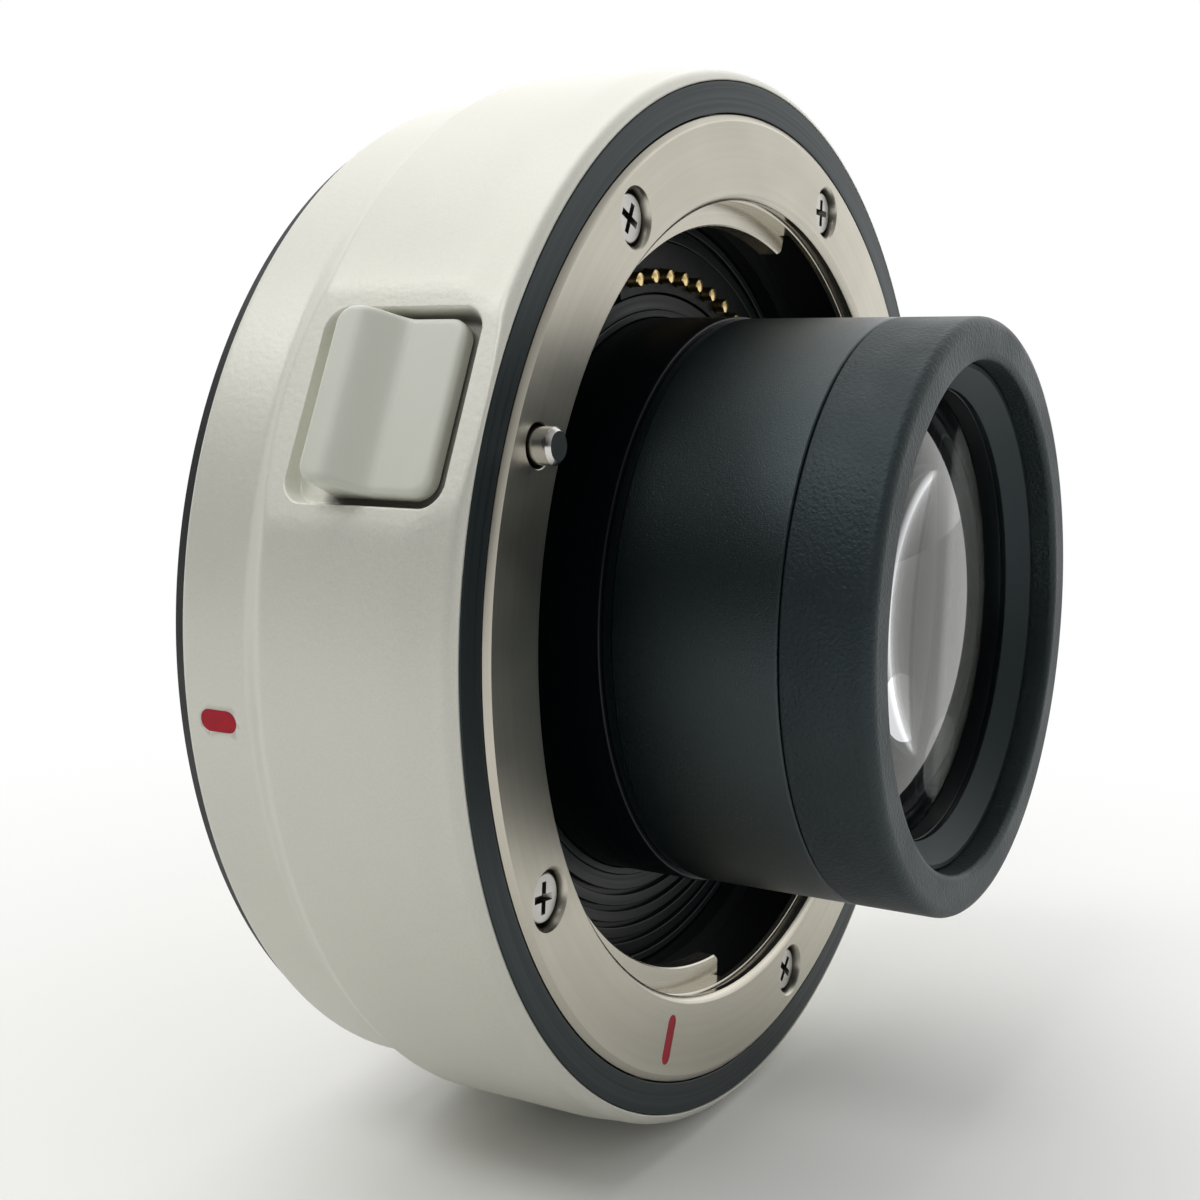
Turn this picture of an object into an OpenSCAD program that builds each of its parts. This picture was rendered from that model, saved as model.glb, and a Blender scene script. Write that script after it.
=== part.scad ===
// Camera teleconverter with a female bayonet in front, a male bayonet behind and a lens barrel between.
// Each piece is drawn with the optical axis along Z, the lens side up, and zero at the rear mount plane.
// It is then laid on its rim: the lens side faces -Y, the camera side faces +Y and the row's Z is up.

/* [Bayonet] */
// Rear mount plane to front mount plane
flange_gap = 20.3; // [19.5:0.1:22]
// Radius of the locating bore of the front mount
throat_r = 27; // [26.5:0.05:27.5]
// Front mount face to the front of its lugs
lug_depth = 2.1; // [1.9:0.05:2.3]
// Thickness of a lug
lug_t = 1.5; // [1.2:0.05:1.7]
// How far a lug of the front mount reaches in from the bore
lug_reach = 1.6; // [1.2:0.05:1.9]
// Front mount face to the floor of the throat
throat_depth = 7.35; // [7:0.05:7.7]
// Radial play of the male bayonet in the female one
bayonet_play = 0.07; // [0.04:0.01:0.15]
// Angle of the front index mark from +X, seen from the lens side
index_angle = 246.8; // [240:0.1:255]
// Turn from insertion to lock, which also parts the two index marks
turn_angle = 60; // [55:1:65]
// Middle of each front lug, from the index mark
lug_angles = [-7, 113, 212];
// Half of a front lug's span in degrees
lug_half_angle = 29; // [24:0.5:30]
// Middle of each rear lug, from the rear index mark
rear_lug_angles = [53, 162.5, 282.5];
// Half of each rear lug's span in degrees
rear_lug_half_angles = [29, 18, 38];

/* [Front mount ring] */
// Width of the ring from its bore to its rim
flange_w = 5.48; // [5.3:0.02:5.7]
// Thickness of the ring's plate
flange_t = 1.4; // [1.2:0.05:1.6]
// How far its face stands out of the bezel
flange_proud = 0.25; // [0.1:0.05:0.35]
// Bevel along the ring's rim, across the face
rim_bevel = 0.41; // [0.2:0.01:0.5]
// Bevel at the mouth of the bore
throat_bevel = 0.38; // [0.2:0.01:0.5]
// Wall of the collar that carries the lugs
collar_w = 0.9; // [0.8:0.05:1]
// Bore of the mount to the screw circle
screw_outset = 2.7; // [2.5:0.05:2.9]
// Front screws, from the index mark
front_screw_angles = [37.8, 121.8, 178.9, 236.6, 321.3];
// Radius of a screw's counterbore
counterbore_r = 1.7; // [1.62:0.02:1.84]
// Depth of a screw's counterbore
counterbore_depth = 1; // [0.8:0.05:1.05]
// Flare at the mouth of a counterbore
counterbore_flare = 0.2; // [0.1:0.02:0.24]
// Bore of the mount to the inner end of the index line
index_outset = 1.2; // [1:0.1:1.4]
// Length of the index line
index_line_len = 3.2; // [2.8:0.1:3.4]
// Width of the index line
index_line_w = 1.05; // [0.8:0.05:1.2]
// Depth of both index marks
mark_depth = 0.25; // [0.15:0.01:0.3]

/* [Fasteners] */
// Radius of a mount screw's head
screw_head_r = 1.48; // [1.3:0.02:1.55]
// Height of a mount screw's head
screw_head_h = 0.55; // [0.4:0.05:0.6]
// Radius of a mount screw's shank
screw_r = 0.83; // [0.7:0.01:0.9]
// Length of a mount screw's shank
screw_len = 4.6; // [3.5:0.1:5]
// Width of the cross recess
cross_w = 0.42; // [0.3:0.02:0.5]
// Length of the cross recess
cross_len = 1.9; // [1.5:0.1:2.2]
// Depth of the cross recess
cross_depth = 0.32; // [0.2:0.02:0.38]
// Radius of a small screw's head
small_head_r = 1; // [0.9:0.05:1.1]
// Height of a small screw's head
small_head_h = 0.45; // [0.3:0.05:0.5]
// Radius of a small screw's shank
small_screw_r = 0.55; // [0.45:0.01:0.6]
// Play of a screw or a pressed piece in its own hole
thread_play = 0.02; // [0.01:0.005:0.05]
// Play of a screw in a clearance hole
hole_play = 0.12; // [0.05:0.01:0.2]

/* [Casing] */
// Rim of the chassis outside the front mount ring
chassis_rim = 0.52; // [0.45:0.02:0.7]
// Gap between neighbouring turned pieces
fit_gap = 0.1; // [0.05:0.01:0.15]
// Casing wall at the rear band
band_wall = 1.3; // [1.2:0.05:1.6]
// Height of the step between the rear band and the main band
step_h = 1.2; // [1:0.05:1.4]
// Rear mount plane to the start of the step
step_z = 5; // [4.9:0.1:5.4]
// Length of the step along the axis
step_len = 2.5; // [1.5:0.1:2.6]
// White rim of the casing outside the bezel
casing_rim = 1; // [0.8:0.05:1.1]
// Rounding of the casing's front edge
front_fillet = 1.15; // [0.6:0.05:1.3]
// Bevel of the casing's rear edge
rear_bevel = 0.3; // [0.1:0.05:0.4]
// Rear mount plane to the casing's rear edge
casing_rear_z = 0.4; // [0.3:0.05:0.5]
// Height of the casing's inner lip, which the mount ring clamps
casing_lip_h = 1.15; // [0.8:0.05:1.4]
// How far the mount ring overlaps the lip
lip_overlap = 0.18; // [0.1:0.02:0.24]
// Length of the rear index mark
rear_mark_len = 2.7; // [2:0.1:3]
// Width of the rear index mark
rear_mark_w = 1.35; // [0.8:0.05:1.6]
// Rear mount plane to the rear index mark
rear_mark_z = 1.55; // [1.2:0.05:1.8]

/* [Release lever] */
// Angle of the flat pad from the index mark
pad_offset_angle = -90.6; // [-92:0.1:-89]
// How far the pad is cut into the main band
pad_cut = 0.73; // [0.5:0.01:0.75]
// Depth of the pocket under the pad
pocket_depth = 1.1; // [0.9:0.02:1.15]
// Width of the pocket round the rim
pocket_w = 11.4; // [10.8:0.1:12]
// Front mount face to the front of the pocket
pocket_front = 1.85; // [1.7:0.05:2.1]
// Corner rounding of the pocket
pocket_corner = 1.4; // [0.8:0.1:1.8]
// Gap left behind the lever at the end of its travel
lever_rear_gap = 0.7; // [0.4:0.05:0.9]
// Side gap between the lever and the pocket
lever_side_gap = 0.55; // [0.4:0.05:0.7]
// Front gap between the lever and the pocket
lever_front_gap = 0.9; // [0.6:0.05:1]
// Length of the lever
lever_len = 7.4; // [7:0.1:7.6]
// Height of the lever's low end above the pad
lever_low = 0.1; // [-0.1:0.05:0.3]
// Height of the lever's ridge above its low end
lever_ridge = 1.9; // [1.5:0.05:2.1]
// Length of the low end
lever_low_len = 3.5; // [3:0.1:3.8]
// Width of the ridge's flat top
lever_crest = 1.4; // [1:0.1:1.8]
// Gap under the lever
lever_lift = 0.2; // [0.15:0.01:0.3]
// Travel of the lever and the pin
lock_travel = 1.5; // [1.2:0.05:1.6]
// Width of the tongue that ties the lever to its carriage
tongue_w = 3; // [2.5:0.1:3.2]
// Height of the tongue
tongue_h = 1; // [0.8:0.05:1.1]
// How far the tongue reaches into the carriage
tongue_grip = 1; // [0.7:0.05:1.1]

/* [Lock pin] */
// Angle of the lock pin from the index mark
pin_offset_angle = -90.3; // [-91:0.1:-89.5]
// Radius of the pin where it shows
pin_r = 1.07; // [1:0.01:1.15]
// Radius of the pin's stem
pin_stem_r = 0.82; // [0.8:0.01:0.9]
// How far the pin stands out of the mount
pin_proud = 1.3; // [1:0.05:1.35]
// Chamfer of the pin's end
pin_chamfer = 0.2; // [0.1:0.02:0.3]
// Play of the pin in its guide
pin_play = 0.05; // [0.03:0.005:0.08]
// Play of the pin in the mount ring
pin_ring_play = 0.22; // [0.15:0.01:0.25]
// Length of the pin's guide under the mount ring
pin_guide = 2.7; // [2.4:0.1:3]
// Gap above and below the carriage in its slot
carriage_gap = 0.3; // [0.2:0.02:0.3]
// Height of the carriage
carriage_h = 1.7; // [1.5:0.05:1.75]
// Width of the carriage
carriage_w = 4.4; // [4.1:0.1:4.8]
// Thickness of a clip on the pin
clip_t = 0.4; // [0.3:0.02:0.42]
// Mouth of a clip
clip_mouth = 1.4; // [1.2:0.05:1.6]
// Outer radius of a clip
clip_r = 1.9; // [1.7:0.05:2]
// Rear mount plane to the spring's clip
spring_seat_z = 7.6; // [7:0.1:8]
// Length of the pin's tail inside the spring
pin_tail = 3.4; // [2.5:0.1:3.8]
// Wire thickness of the lock spring
spring_wire = 0.36; // [0.3:0.02:0.42]
// Turns of the lock spring
spring_turns = 6; // [4:1:7]

/* [Contacts] */
// Number of contacts
contact_count = 12; // [8:1:12]
// Angle between neighbouring contacts
contact_pitch_angle = 5.7; // [5.5:0.05:5.9]
// Bore of the mount to the contact arc
contact_inset = 4.8; // [4.6:0.05:5]
// Middle of the contacts, from the index mark
contact_offset_angle = 182.5; // [180:0.5:184]
// Radius of a contact pin
contact_r = 0.52; // [0.45:0.01:0.55]
// Bevel of a contact pin's end
contact_bevel = 0.14; // [0.06:0.02:0.3]
// How far a contact pin stands out
contact_proud = 0.85; // [0.7:0.05:1]
// Play of a contact pin in its guide
contact_play = 0.05; // [0.03:0.005:0.08]
// Radius of a contact pin's shoulder
shoulder_r = 0.7; // [0.64:0.01:0.74]
// Thickness of a contact pin's shoulder
shoulder_t = 0.45; // [0.3:0.05:0.5]
// Guide length above the shoulder
guide_t = 0.85; // [0.7:0.05:0.95]
// Contact arc to the block's inner edge
block_in = 1.1; // [1:0.02:1.15]
// Contact arc to the block's outer edge
block_out = 2.4; // [2:0.05:2.5]
// Width of the foot's edge outside the block
foot_edge = 0.5; // [0.3:0.05:0.6]
// Play round the block, in degrees
block_play_angle = 0.4; // [0.2:0.05:0.6]
// How far the block stands above the floor
block_proud = 0.1; // [0.05:0.01:0.2]
// Block left over past the last contact, in degrees
block_end_angle = 4.2; // [3.6:0.1:5]
// Rear block left over past the front one, in degrees
rear_block_angle = 2; // [1.5:0.1:3]
// Foot of the block under the mounting plate
block_foot = 1; // [0.8:0.05:1.1]
// Foot left over past the block in degrees
foot_end_angle = 5.5; // [5:0.1:6.5]
// Thickness of the flexible circuit
flex_t = 0.3; // [0.2:0.02:0.35]

/* [Chassis] */
// Thickness of the throat's baffle
baffle_t = 0.95; // [0.8:0.05:1.1]
// Bore of the mount to the baffle's rim
baffle_inset = 0.6; // [0.5:0.05:1]
// Lens tube to the baffle's first groove
groove_outset = 1.64; // [1.5:0.01:1.8]
// Pitch of the baffle's grooves
groove_pitch = 1.13; // [1.1:0.01:1.15]
// Number of grooves
groove_count = 5; // [3:1:5]
// Width of a groove
groove_w = 0.36; // [0.25:0.01:0.5]
// Depth of a groove
groove_depth = 0.45; // [0.2:0.05:0.6]
// Width of the raised ring round the lens tube
tube_ring_w = 0.57; // [0.4:0.01:0.7]
// Height of that ring above the floor
tube_ring_h = 0.2; // [0.1:0.05:0.4]
// Thickness of the mounting plate
web_t = 1.2; // [1:0.05:1.4]
// Radius of a lobe that carries the plate
lobe_r = 2.2; // [2:0.05:2.3]
// Height of a lobe
lobe_h = 1.5; // [1.3:0.05:1.6]
// Lobes, from the index mark
lobe_angles = [-106.8, 8.2, 98.2];
// Height of the leaf springs' ledge above the floor
ledge_h = 1.25; // [1.1:0.05:1.35]
// Thickness of a leaf spring
leaf_t = 0.25; // [0.18:0.01:0.27]
// Rise of a leaf spring's middle
leaf_rise = 0.2; // [0.12:0.01:0.22]
// Half of a leaf spring's span in degrees
leaf_half_angle = 20; // [16:1:24]
// Wall of the chassis skirt
skirt_wall = 2; // [1.8:0.05:2.2]
// Thickness of the circuit board
board_t = 1; // [0.8:0.05:1.2]
// Gap between the circuit board and the flexible circuit
board_gap = 1.1; // [0.9:0.1:1.3]
// Screw bosses to the circuit board's edge
board_edge_gap = 0.5; // [0.3:0.1:1]
// Lens tube to the circuit board's hole
board_hole_gap = 1; // [0.8:0.1:1.5]
// Width of a chip on the circuit board
chip_w = 3.2; // [2.5:0.1:3.6]
// Length of a chip
chip_len = 4.4; // [3.5:0.1:4.8]
// Height of a chip
chip_h = 0.9; // [0.6:0.05:1]
// Chips, from the middle of the board
chip_angles = [-130, -60, 30, 95];
// Where the board starts, from the index mark
board_start_angle = -62; // [-64:1:-60]
// Angle that the board covers
board_span_angle = 300; // [280:1:302]
// Circuit board's edge to its posts
post_inset = 2.7; // [2.4:0.1:3]
// Radius of a board post
post_r = 1.3; // [1.2:0.05:1.5]
// Board posts, from the index mark
post_angles = [-16, 74, 118];

/* [Rear mount] */
// Chassis to the rear mount ring's rim
rear_flange_inset = 0.6; // [0.5:0.05:0.8]
// Thickness of the rear mount ring
rear_flange_t = 1.6; // [1.4:0.05:1.8]
// Length of the rear bayonet behind its plane
rear_tube_len = 6.8; // [6.6:0.05:6.85]
// Wall of the rear bayonet
rear_tube_wall = 1.15; // [1:0.05:1.3]
// Rear screws, from the rear index mark
rear_screw_angles = [13.2, 103.2, 193.2, 283.2];
// Bore of the front mount to the rear screw circle
rear_screw_outset = 2.3; // [2.2:0.05:2.5]
// Radius of the bosses that the rear screws enter
boss_r = 1.6; // [1.4:0.05:1.7]
// Depth of the camera's lock hole
lock_hole_depth = 1.2; // [0.9:0.05:1.3]
// Radius of the camera's lock hole
lock_hole_r = 1.5; // [1.4:0.05:1.6]
// Height of the seal's lip past the rear mount plane
seal_lip = 0.64; // [0.4:0.02:0.8]
// Width of the seal's lip
seal_lip_w = 0.65; // [0.5:0.05:0.8]
// Width of the rear light frame's window
window_w = 26; // [24:0.5:27]
// Height of the rear light frame's window
window_h = 20; // [18:0.5:21]
// Thickness of the rear light frame
frame_t = 1.5; // [1.2:0.05:1.6]
// Width of the light frame's lip inside the mount
frame_lip_w = 2.6; // [2.4:0.05:2.7]
// Bore of the rear mount to the light frame's screws
frame_screw_in = 1.4; // [1.3:0.05:1.5]
// Thickness of the light frame's lip inside the mount
frame_lip_t = 0.8; // [0.6:0.05:1]
// Radius of a contact pad
pad_r = 0.75; // [0.6:0.05:0.85]
// Thickness of a contact pad
pad_t = 0.3; // [0.2:0.05:0.4]

/* [Lens barrel] */
// Contact arc to the tube in the throat
tube_inset = 2.87; // [2.7:0.01:3]
// Step from that tube to the barrel
barrel_step = 0.13; // [0.05:0.01:0.2]
// Front mount face to the barrel's rear edge
barrel_sink = 0.83; // [0.6:0.01:1]
// Length of the barrel up to the seam
barrel_len = 11.55; // [11.4:0.05:11.9]
// Length of the hood
hood_len = 5.68; // [5:0.02:6]
// Wall of the hood
hood_wall = 2.75; // [2.6:0.05:2.8]
// Rounding of the hood's front edge
hood_round = 0.7; // [0.4:0.05:0.9]
// Seam between the barrel and the hood
seam = 0.05; // [0.03:0.01:0.1]
// Seam to the front element's rim
lens_1_rise = 1; // [0.7:0.05:1.05]
// Thickness of the front element's seat
lens_1_shelf = 1.2; // [1:0.05:1.3]
// Length of the spigot inside the hood
spigot_len = 1.6; // [1.3:0.05:1.8]
// Wall of that spigot
spigot_wall = 1.1; // [0.9:0.05:1.12]
// Front of the retaining ring below the hood's rim
ring_sink = 1.7; // [1.4:0.05:2]
// Flat front of the retaining ring
ring_face = 0.35; // [0.25:0.05:0.5]
// Width of the retaining ring's cone
ring_cone = 1.3; // [1:0.05:1.4]
// Height of the retaining ring's cone
ring_cone_h = 1.35; // [1:0.05:1.5]
// Step from the tube in the throat to the tube behind it
rear_tube_step = 5.43; // [5.2:0.01:5.8]
// Screws that hold the tube and the rear light frame, from +X
tube_screw_angles = [0, 120, 240];
// Wall of the tube round the rear elements
rear_cell_wall = 1.6; // [1.4:0.05:1.7]
// Tube's rear end to the ring that holds the doublet
rear_ring_sink = 1; // [0.5:0.05:1.2]
// Shoulder between the two cells of the tube
shoulder_h = 1.2; // [1:0.05:1.4]
// Wall of the barrel round the sleeve
barrel_wall = 2.25; // [2:0.05:2.3]
// Length of the sleeve inside the barrel
sleeve_len = 7.5; // [7.2:0.05:7.6]
// Wall of that sleeve
sleeve_wall = 3.7; // [3.5:0.05:3.75]
// Rear mount plane to the tube's rear end
tube_rear_z = 0.5; // [0.3:0.05:0.7]

/* [Optics] */
// Clear radius left inside an element's rim
rim_land = 1; // [0.8:0.05:1.2]
// Edge thickness of the front element
front_edge = 2.25; // [2:0.05:2.35]
// Bulge of the front element's front face
front_bulge = 2.6; // [2:0.05:2.8]
// Bulge of the front element's rear face
front_back_bulge = 1; // [0.8:0.05:1.4]
// Edge thickness of the triplet's outer elements
triplet_edge = 2.45; // [2.3:0.05:2.6]
// Hollow of the triplet's outer faces
triplet_hollow = 0.95; // [0.7:0.05:1]
// Bulge of the triplet's cemented faces
triplet_bulge = 0.7; // [0.5:0.05:0.75]
// Edge thickness of the triplet's middle element
triplet_middle = 2.45; // [2.2:0.05:2.6]
// Edge thickness of the fifth element
fifth_edge = 2.2; // [2:0.05:2.4]
// Bulge of the fifth element
fifth_bulge = 0.8; // [0.6:0.05:0.9]
// Length of the spacer in front of the doublet
spacer_len = 2.8; // [2.4:0.05:2.9]
// Edge thickness of the doublet's front element
doublet_front_edge = 3; // [2.8:0.05:3.1]
// Edge thickness of the doublet's rear element
doublet_rear_edge = 3.2; // [3:0.05:3.2]
// Bulge of the doublet's front and cemented faces
doublet_bulge = 0.8; // [0.6:0.05:0.9]
// Hollow of the last face
last_hollow = 0.8; // [0.5:0.05:1]
// Cement or seat gap between two elements
cement = 0.02; // [0.01:0.005:0.04]
// Height of the ring that holds the triplet
triplet_ring_h = 2; // [1.6:0.1:2.2]
// Height of the ring that holds the doublet
rear_ring_h = 1.6; // [1.4:0.05:1.8]

/* [Hidden] */
$fn = 96;
// Overshoot of a cut past a face
cut = 1;
// Points on a drawn curve
curve_n = 8;
// Facets of a large, flat arc
fine = 720;
// Overlap of a bulge with its element
lens_root = 0.2;

front_z = flange_gap;
bezel_z = front_z - flange_proud;
seat_z = front_z - flange_t;
lug_top_z = front_z - lug_depth;
lug_back_z = lug_top_z - lug_t;
floor_z = front_z - throat_depth;
web_top_z = floor_z - baffle_t;
web_z = web_top_z - web_t;
ledge_z = floor_z + ledge_h;

lug_in_r = throat_r - lug_reach;
collar_z = (lug_top_z + seat_z) / 2;
lug_gaps = [for (i = [0:len(lug_angles) - 1])
    let (next = (i + 1) % len(lug_angles), turn = next == 0 ? 360 : 0)
    [lug_angles[i] + lug_half_angle, lug_angles[next] - lug_half_angle + turn]];
collar_r = throat_r + collar_w;
flange_r = throat_r + flange_w;
screw_circle_r = throat_r + screw_outset;
index_line_r = throat_r + index_outset;
chassis_in_r = collar_r + fit_gap;
baffle_r = throat_r - baffle_inset;
chassis_r = flange_r + chassis_rim;
casing_bore = chassis_r + fit_gap;
band_r = casing_bore + band_wall;
body_r = band_r + step_h;
bezel_r = body_r - casing_rim;
bezel_in_r = flange_r + fit_gap;
rabbet_r = bezel_r + fit_gap / 2;
lip_r = flange_r - lip_overlap;
lip_z = seat_z - casing_lip_h;
rear_index_angle = index_angle - turn_angle;
contact_circle_r = throat_r - contact_inset;
tube_r = contact_circle_r - tube_inset;
barrel_r = tube_r - barrel_step;
rear_tube_r = tube_r - rear_tube_step;
tube_screw_circle_r = (tube_r + rear_tube_r) / 2;
groove_r = tube_r + groove_outset;
screw_seat_z = front_z - counterbore_depth;

pad_angle = index_angle + pad_offset_angle;
pad_d = body_r - pad_cut;
pocket_floor = pad_d - pocket_depth;
pocket_len = lever_front_gap + lever_len + lock_travel + lever_rear_gap;
pocket_z = front_z - pocket_front - pocket_len;
lever_front_z = front_z - pocket_front - lever_front_gap;
lever_z = lever_front_z - lever_len;
lever_w = pocket_w - 2 * lever_side_gap;
lever_bottom = pocket_floor + lever_lift;
lever_top = pad_d + lever_low;

pin_angle = index_angle + pin_offset_angle;
carriage_top_z = seat_z - pin_guide - carriage_gap;
carriage_z = carriage_top_z - carriage_h;
slot_z = carriage_z - clip_t - fit_gap / 2 - lock_travel - carriage_gap;
slot_w = carriage_w + 2 * carriage_gap;
slot_in_r = screw_circle_r - pin_r - pin_play;
carriage_in_r = slot_in_r + carriage_gap;
carriage_out_r = chassis_r - carriage_gap - fit_gap;
tongue_z = carriage_z + (carriage_h - tongue_h) / 2;
skirt_in_r = chassis_r - skirt_wall;
rear_screw_circle_r = throat_r + rear_screw_outset;
board_r = rear_screw_circle_r - boss_r - board_edge_gap;
post_circle_r = board_r - post_inset;
spring_r = pin_stem_r + 2 * fit_gap + spring_wire / 2;

contact_angle = index_angle + contact_offset_angle;
contact_half_angle = contact_pitch_angle * (contact_count - 1) / 2;
block_half_angle = contact_half_angle + block_end_angle;
block_in_r = contact_circle_r - block_in;
block_out_r = contact_circle_r + block_out;
block_top_z = floor_z + block_proud;
block_z = web_z - block_foot;
foot_half_angle = block_half_angle + foot_end_angle;
foot_screw_angles = [for (side = [-1, 1]) contact_angle + side * (block_half_angle + foot_end_angle / 2)];
rear_block_screw_angles = [for (side = [-1, 1]) contact_angle + side * block_half_angle];
foot_in_r = block_in_r - foot_edge;
foot_out_r = block_out_r + foot_edge;
chamber_r = shoulder_r + contact_play;
chamber_top_z = block_top_z - guide_t;
shoulder_top_z = chamber_top_z - contact_play;
flex_z = block_z - flex_t;
board_z = flex_z - board_gap - board_t;
contact_angles = [for (i = [0:contact_count - 1])
    contact_angle - contact_half_angle + i * contact_pitch_angle];

rear_flange_r = chassis_r - rear_flange_inset;
rear_neck_r = lug_in_r - 2 * bayonet_play;
rear_bore_r = rear_neck_r - rear_tube_wall;
rear_lug_r = throat_r - 3 * bayonet_play;
spigot_r = throat_r - bayonet_play;
spigot_z = -(lug_depth - 2 * bayonet_play);
rear_lug_z = -(lug_depth + lug_t + bayonet_play);
rear_block_in_r = block_in_r - 2 * fit_gap;
rear_block_out_r = rear_bore_r - fit_gap;
seal_in_r = rear_flange_r + fit_gap;
seal_out_r = band_r - rear_bevel;
frame_lip_r = rear_bore_r + frame_lip_w;
frame_screw_circle_r = rear_bore_r + frame_screw_in;

barrel_z = front_z - barrel_sink;
seam_z = barrel_z + barrel_len;
rim_z = seam_z + hood_len;
hood_in_r = barrel_r - hood_wall;
spigot_in_r = hood_in_r - fit_gap / 2;
spigot_out_r = spigot_in_r + spigot_wall;
spigot_top_z = seam_z + spigot_len;
keep_ring_r = spigot_in_r - fit_gap / 2;
keep_ring_z = rim_z - ring_sink;
keep_ring_in_r = keep_ring_r - ring_cone - ring_face;
lens_1_r = keep_ring_in_r + rim_land;
lens_1_z = seam_z + lens_1_rise;
lens_1_seat_z = lens_1_z - front_edge;
sleeve_top_z = barrel_z + sleeve_len;
sleeve_r = barrel_r - barrel_wall;
front_cell_r = sleeve_r - sleeve_wall;
rear_cell_r = rear_tube_r - rear_cell_wall;
rear_ring_z = tube_rear_z + rear_ring_sink;
lens_7_z = rear_ring_z + rear_ring_h + thread_play;
lens_6_z = lens_7_z + doublet_rear_edge + cement;
spacer_z = lens_6_z + doublet_front_edge + cement;
lens_5_z = spacer_z + spacer_len + cement;
shelf_z = lens_5_z + fifth_edge + cement;
shelf_top_z = shelf_z + shoulder_h;
lens_4_z = shelf_top_z + cement;
lens_3_z = lens_4_z + triplet_edge + cement;
lens_2_z = lens_3_z + triplet_middle + cement;
triplet_top_z = lens_2_z + triplet_edge;
triplet_r = front_cell_r - fit_gap / 2;
rear_lens_r = rear_cell_r - fit_gap / 2;

white = [0.86, 0.86, 0.83];
steel = [0.72, 0.71, 0.68];
black = [0.07, 0.08, 0.085];
slate = [0.2, 0.22, 0.23];
gold = [0.85, 0.65, 0.25];
red = [0.7, 0.06, 0.14];
glass = [0.75, 0.8, 0.82, 0.5];
green = [0.08, 0.3, 0.16];
amber = [0.6, 0.35, 0.1];
rubber = [0.05, 0.05, 0.055];
alloy = [0.45, 0.46, 0.48];

function contact_name(i) = str("contact_pin_", i < 10 ? "0" : "", i);
function smooth(t) = t * t * (3 - 2 * t);

// A flat ring between two heights
module ring(r_in, r_out, z_lo, z_hi) {
    difference() {
        translate([0, 0, z_lo]) cylinder(r = r_out, h = z_hi - z_lo);
        translate([0, 0, z_lo - cut]) cylinder(r = r_in, h = z_hi - z_lo + 2 * cut);
    }
}

// Part of a ring, half degrees to each side of mid
module sector(r_in, r_out, z_lo, z_hi, mid, half) {
    translate([0, 0, z_lo])
        rotate([0, 0, mid - half])
            rotate_extrude(angle = 2 * half)
                translate([r_in, 0]) square([r_out - r_in, z_hi - z_lo]);
}

// A rod between two heights
module rod(r, z_lo, z_hi) {
    translate([0, 0, z_lo]) cylinder(r = r, h = z_hi - z_lo);
}

// Copies at each angle on a circle
module at_each(r, angles) {
    for (a = angles) rotate([0, 0, a]) translate([r, 0, 0]) children();
}

// Child's X runs round the rim, its Y along the axis and its Z outwards, from distance d
module on_side(angle, d) {
    rotate([0, 0, angle]) translate([d, 0, 0]) rotate([90, 0, 90]) children();
}

// A slot outline with round ends, along X
module capsule(len, w) {
    translate([w / 2, -w / 2]) square([len - w, w]);
    translate([w / 2, 0]) circle(d = w);
    translate([len - w / 2, 0]) circle(d = w);
}

// A rectangle with round corners, centred on X and standing on Y = 0
module rounded(w, h, r) {
    translate([-w / 2 + r, 0]) square([w - 2 * r, h]);
    translate([-w / 2, r]) square([w, h - 2 * r]);
    for (x = [-1, 1], y = [r, h - r]) translate([x * (w / 2 - r), y]) circle(r = r);
}

// A cross-recess screw with its head on z = 0 and its shank below
module screw(head_r, head_h, shank_r, shank_len) {
    difference() {
        union() {
            rod(head_r, 0, head_h);
            rod(shank_r, -shank_len, head_h / 2);
        }
        for (a = [0, 90])
            rotate([0, 0, a])
                translate([-cross_len * head_r / screw_head_r / 2, -cross_w / 2, head_h - cross_depth])
                    cube([cross_len * head_r / screw_head_r, cross_w, cross_depth + cut]);
    }
}

// The space of a counterbore, from the screw's seat at z = 0 to its flared mouth
module counterbore() {
    rotate_extrude() polygon([[0, 0], [counterbore_r, 0],
        [counterbore_r, counterbore_depth - counterbore_flare],
        [counterbore_r + counterbore_flare + cut, counterbore_depth + cut], [0, counterbore_depth + cut]]);
}

// A wire coil that stands on z = 0
module coil(r, wire, turns, len) {
    rings = 8;
    sides = 6;
    n = turns * rings;
    points = [for (i = [0:n], k = [0:sides - 1])
        let (a = 360 * i / rings, b = 360 * k / sides, out = r + wire / 2 * cos(b))
        [out * cos(a), out * sin(a), wire / 2 + (len - wire) * i / n + wire / 2 * sin(b)]];
    walls = [for (i = [0:n - 1], k = [0:sides - 1])
        let (p = i * sides + k, q = i * sides + (k + 1) % sides)
        each [[p, q, q + sides], [p, q + sides, p + sides]]];
    ends = [for (k = [1:sides - 2])
        each [[0, k + 1, k], [n * sides, n * sides + k, n * sides + k + 1]]];
    polyhedron(points, concat(walls, ends));
}

// Half outline of a bulging face that stands on Y = 0
module dome(r, bulge) {
    big = (r * r + bulge * bulge) / (2 * bulge);
    intersection() {
        translate([0, bulge - big]) circle(r = big, $fn = fine);
        translate([0, -lens_root]) square([r + lens_root, bulge + cut]);
    }
}

// Outline of a hollow face that opens at Y = 0
module hollow(r, depth) {
    big = (r * r + depth * depth) / (2 * depth);
    translate([0, big - depth]) circle(r = big, $fn = fine);
}

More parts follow.
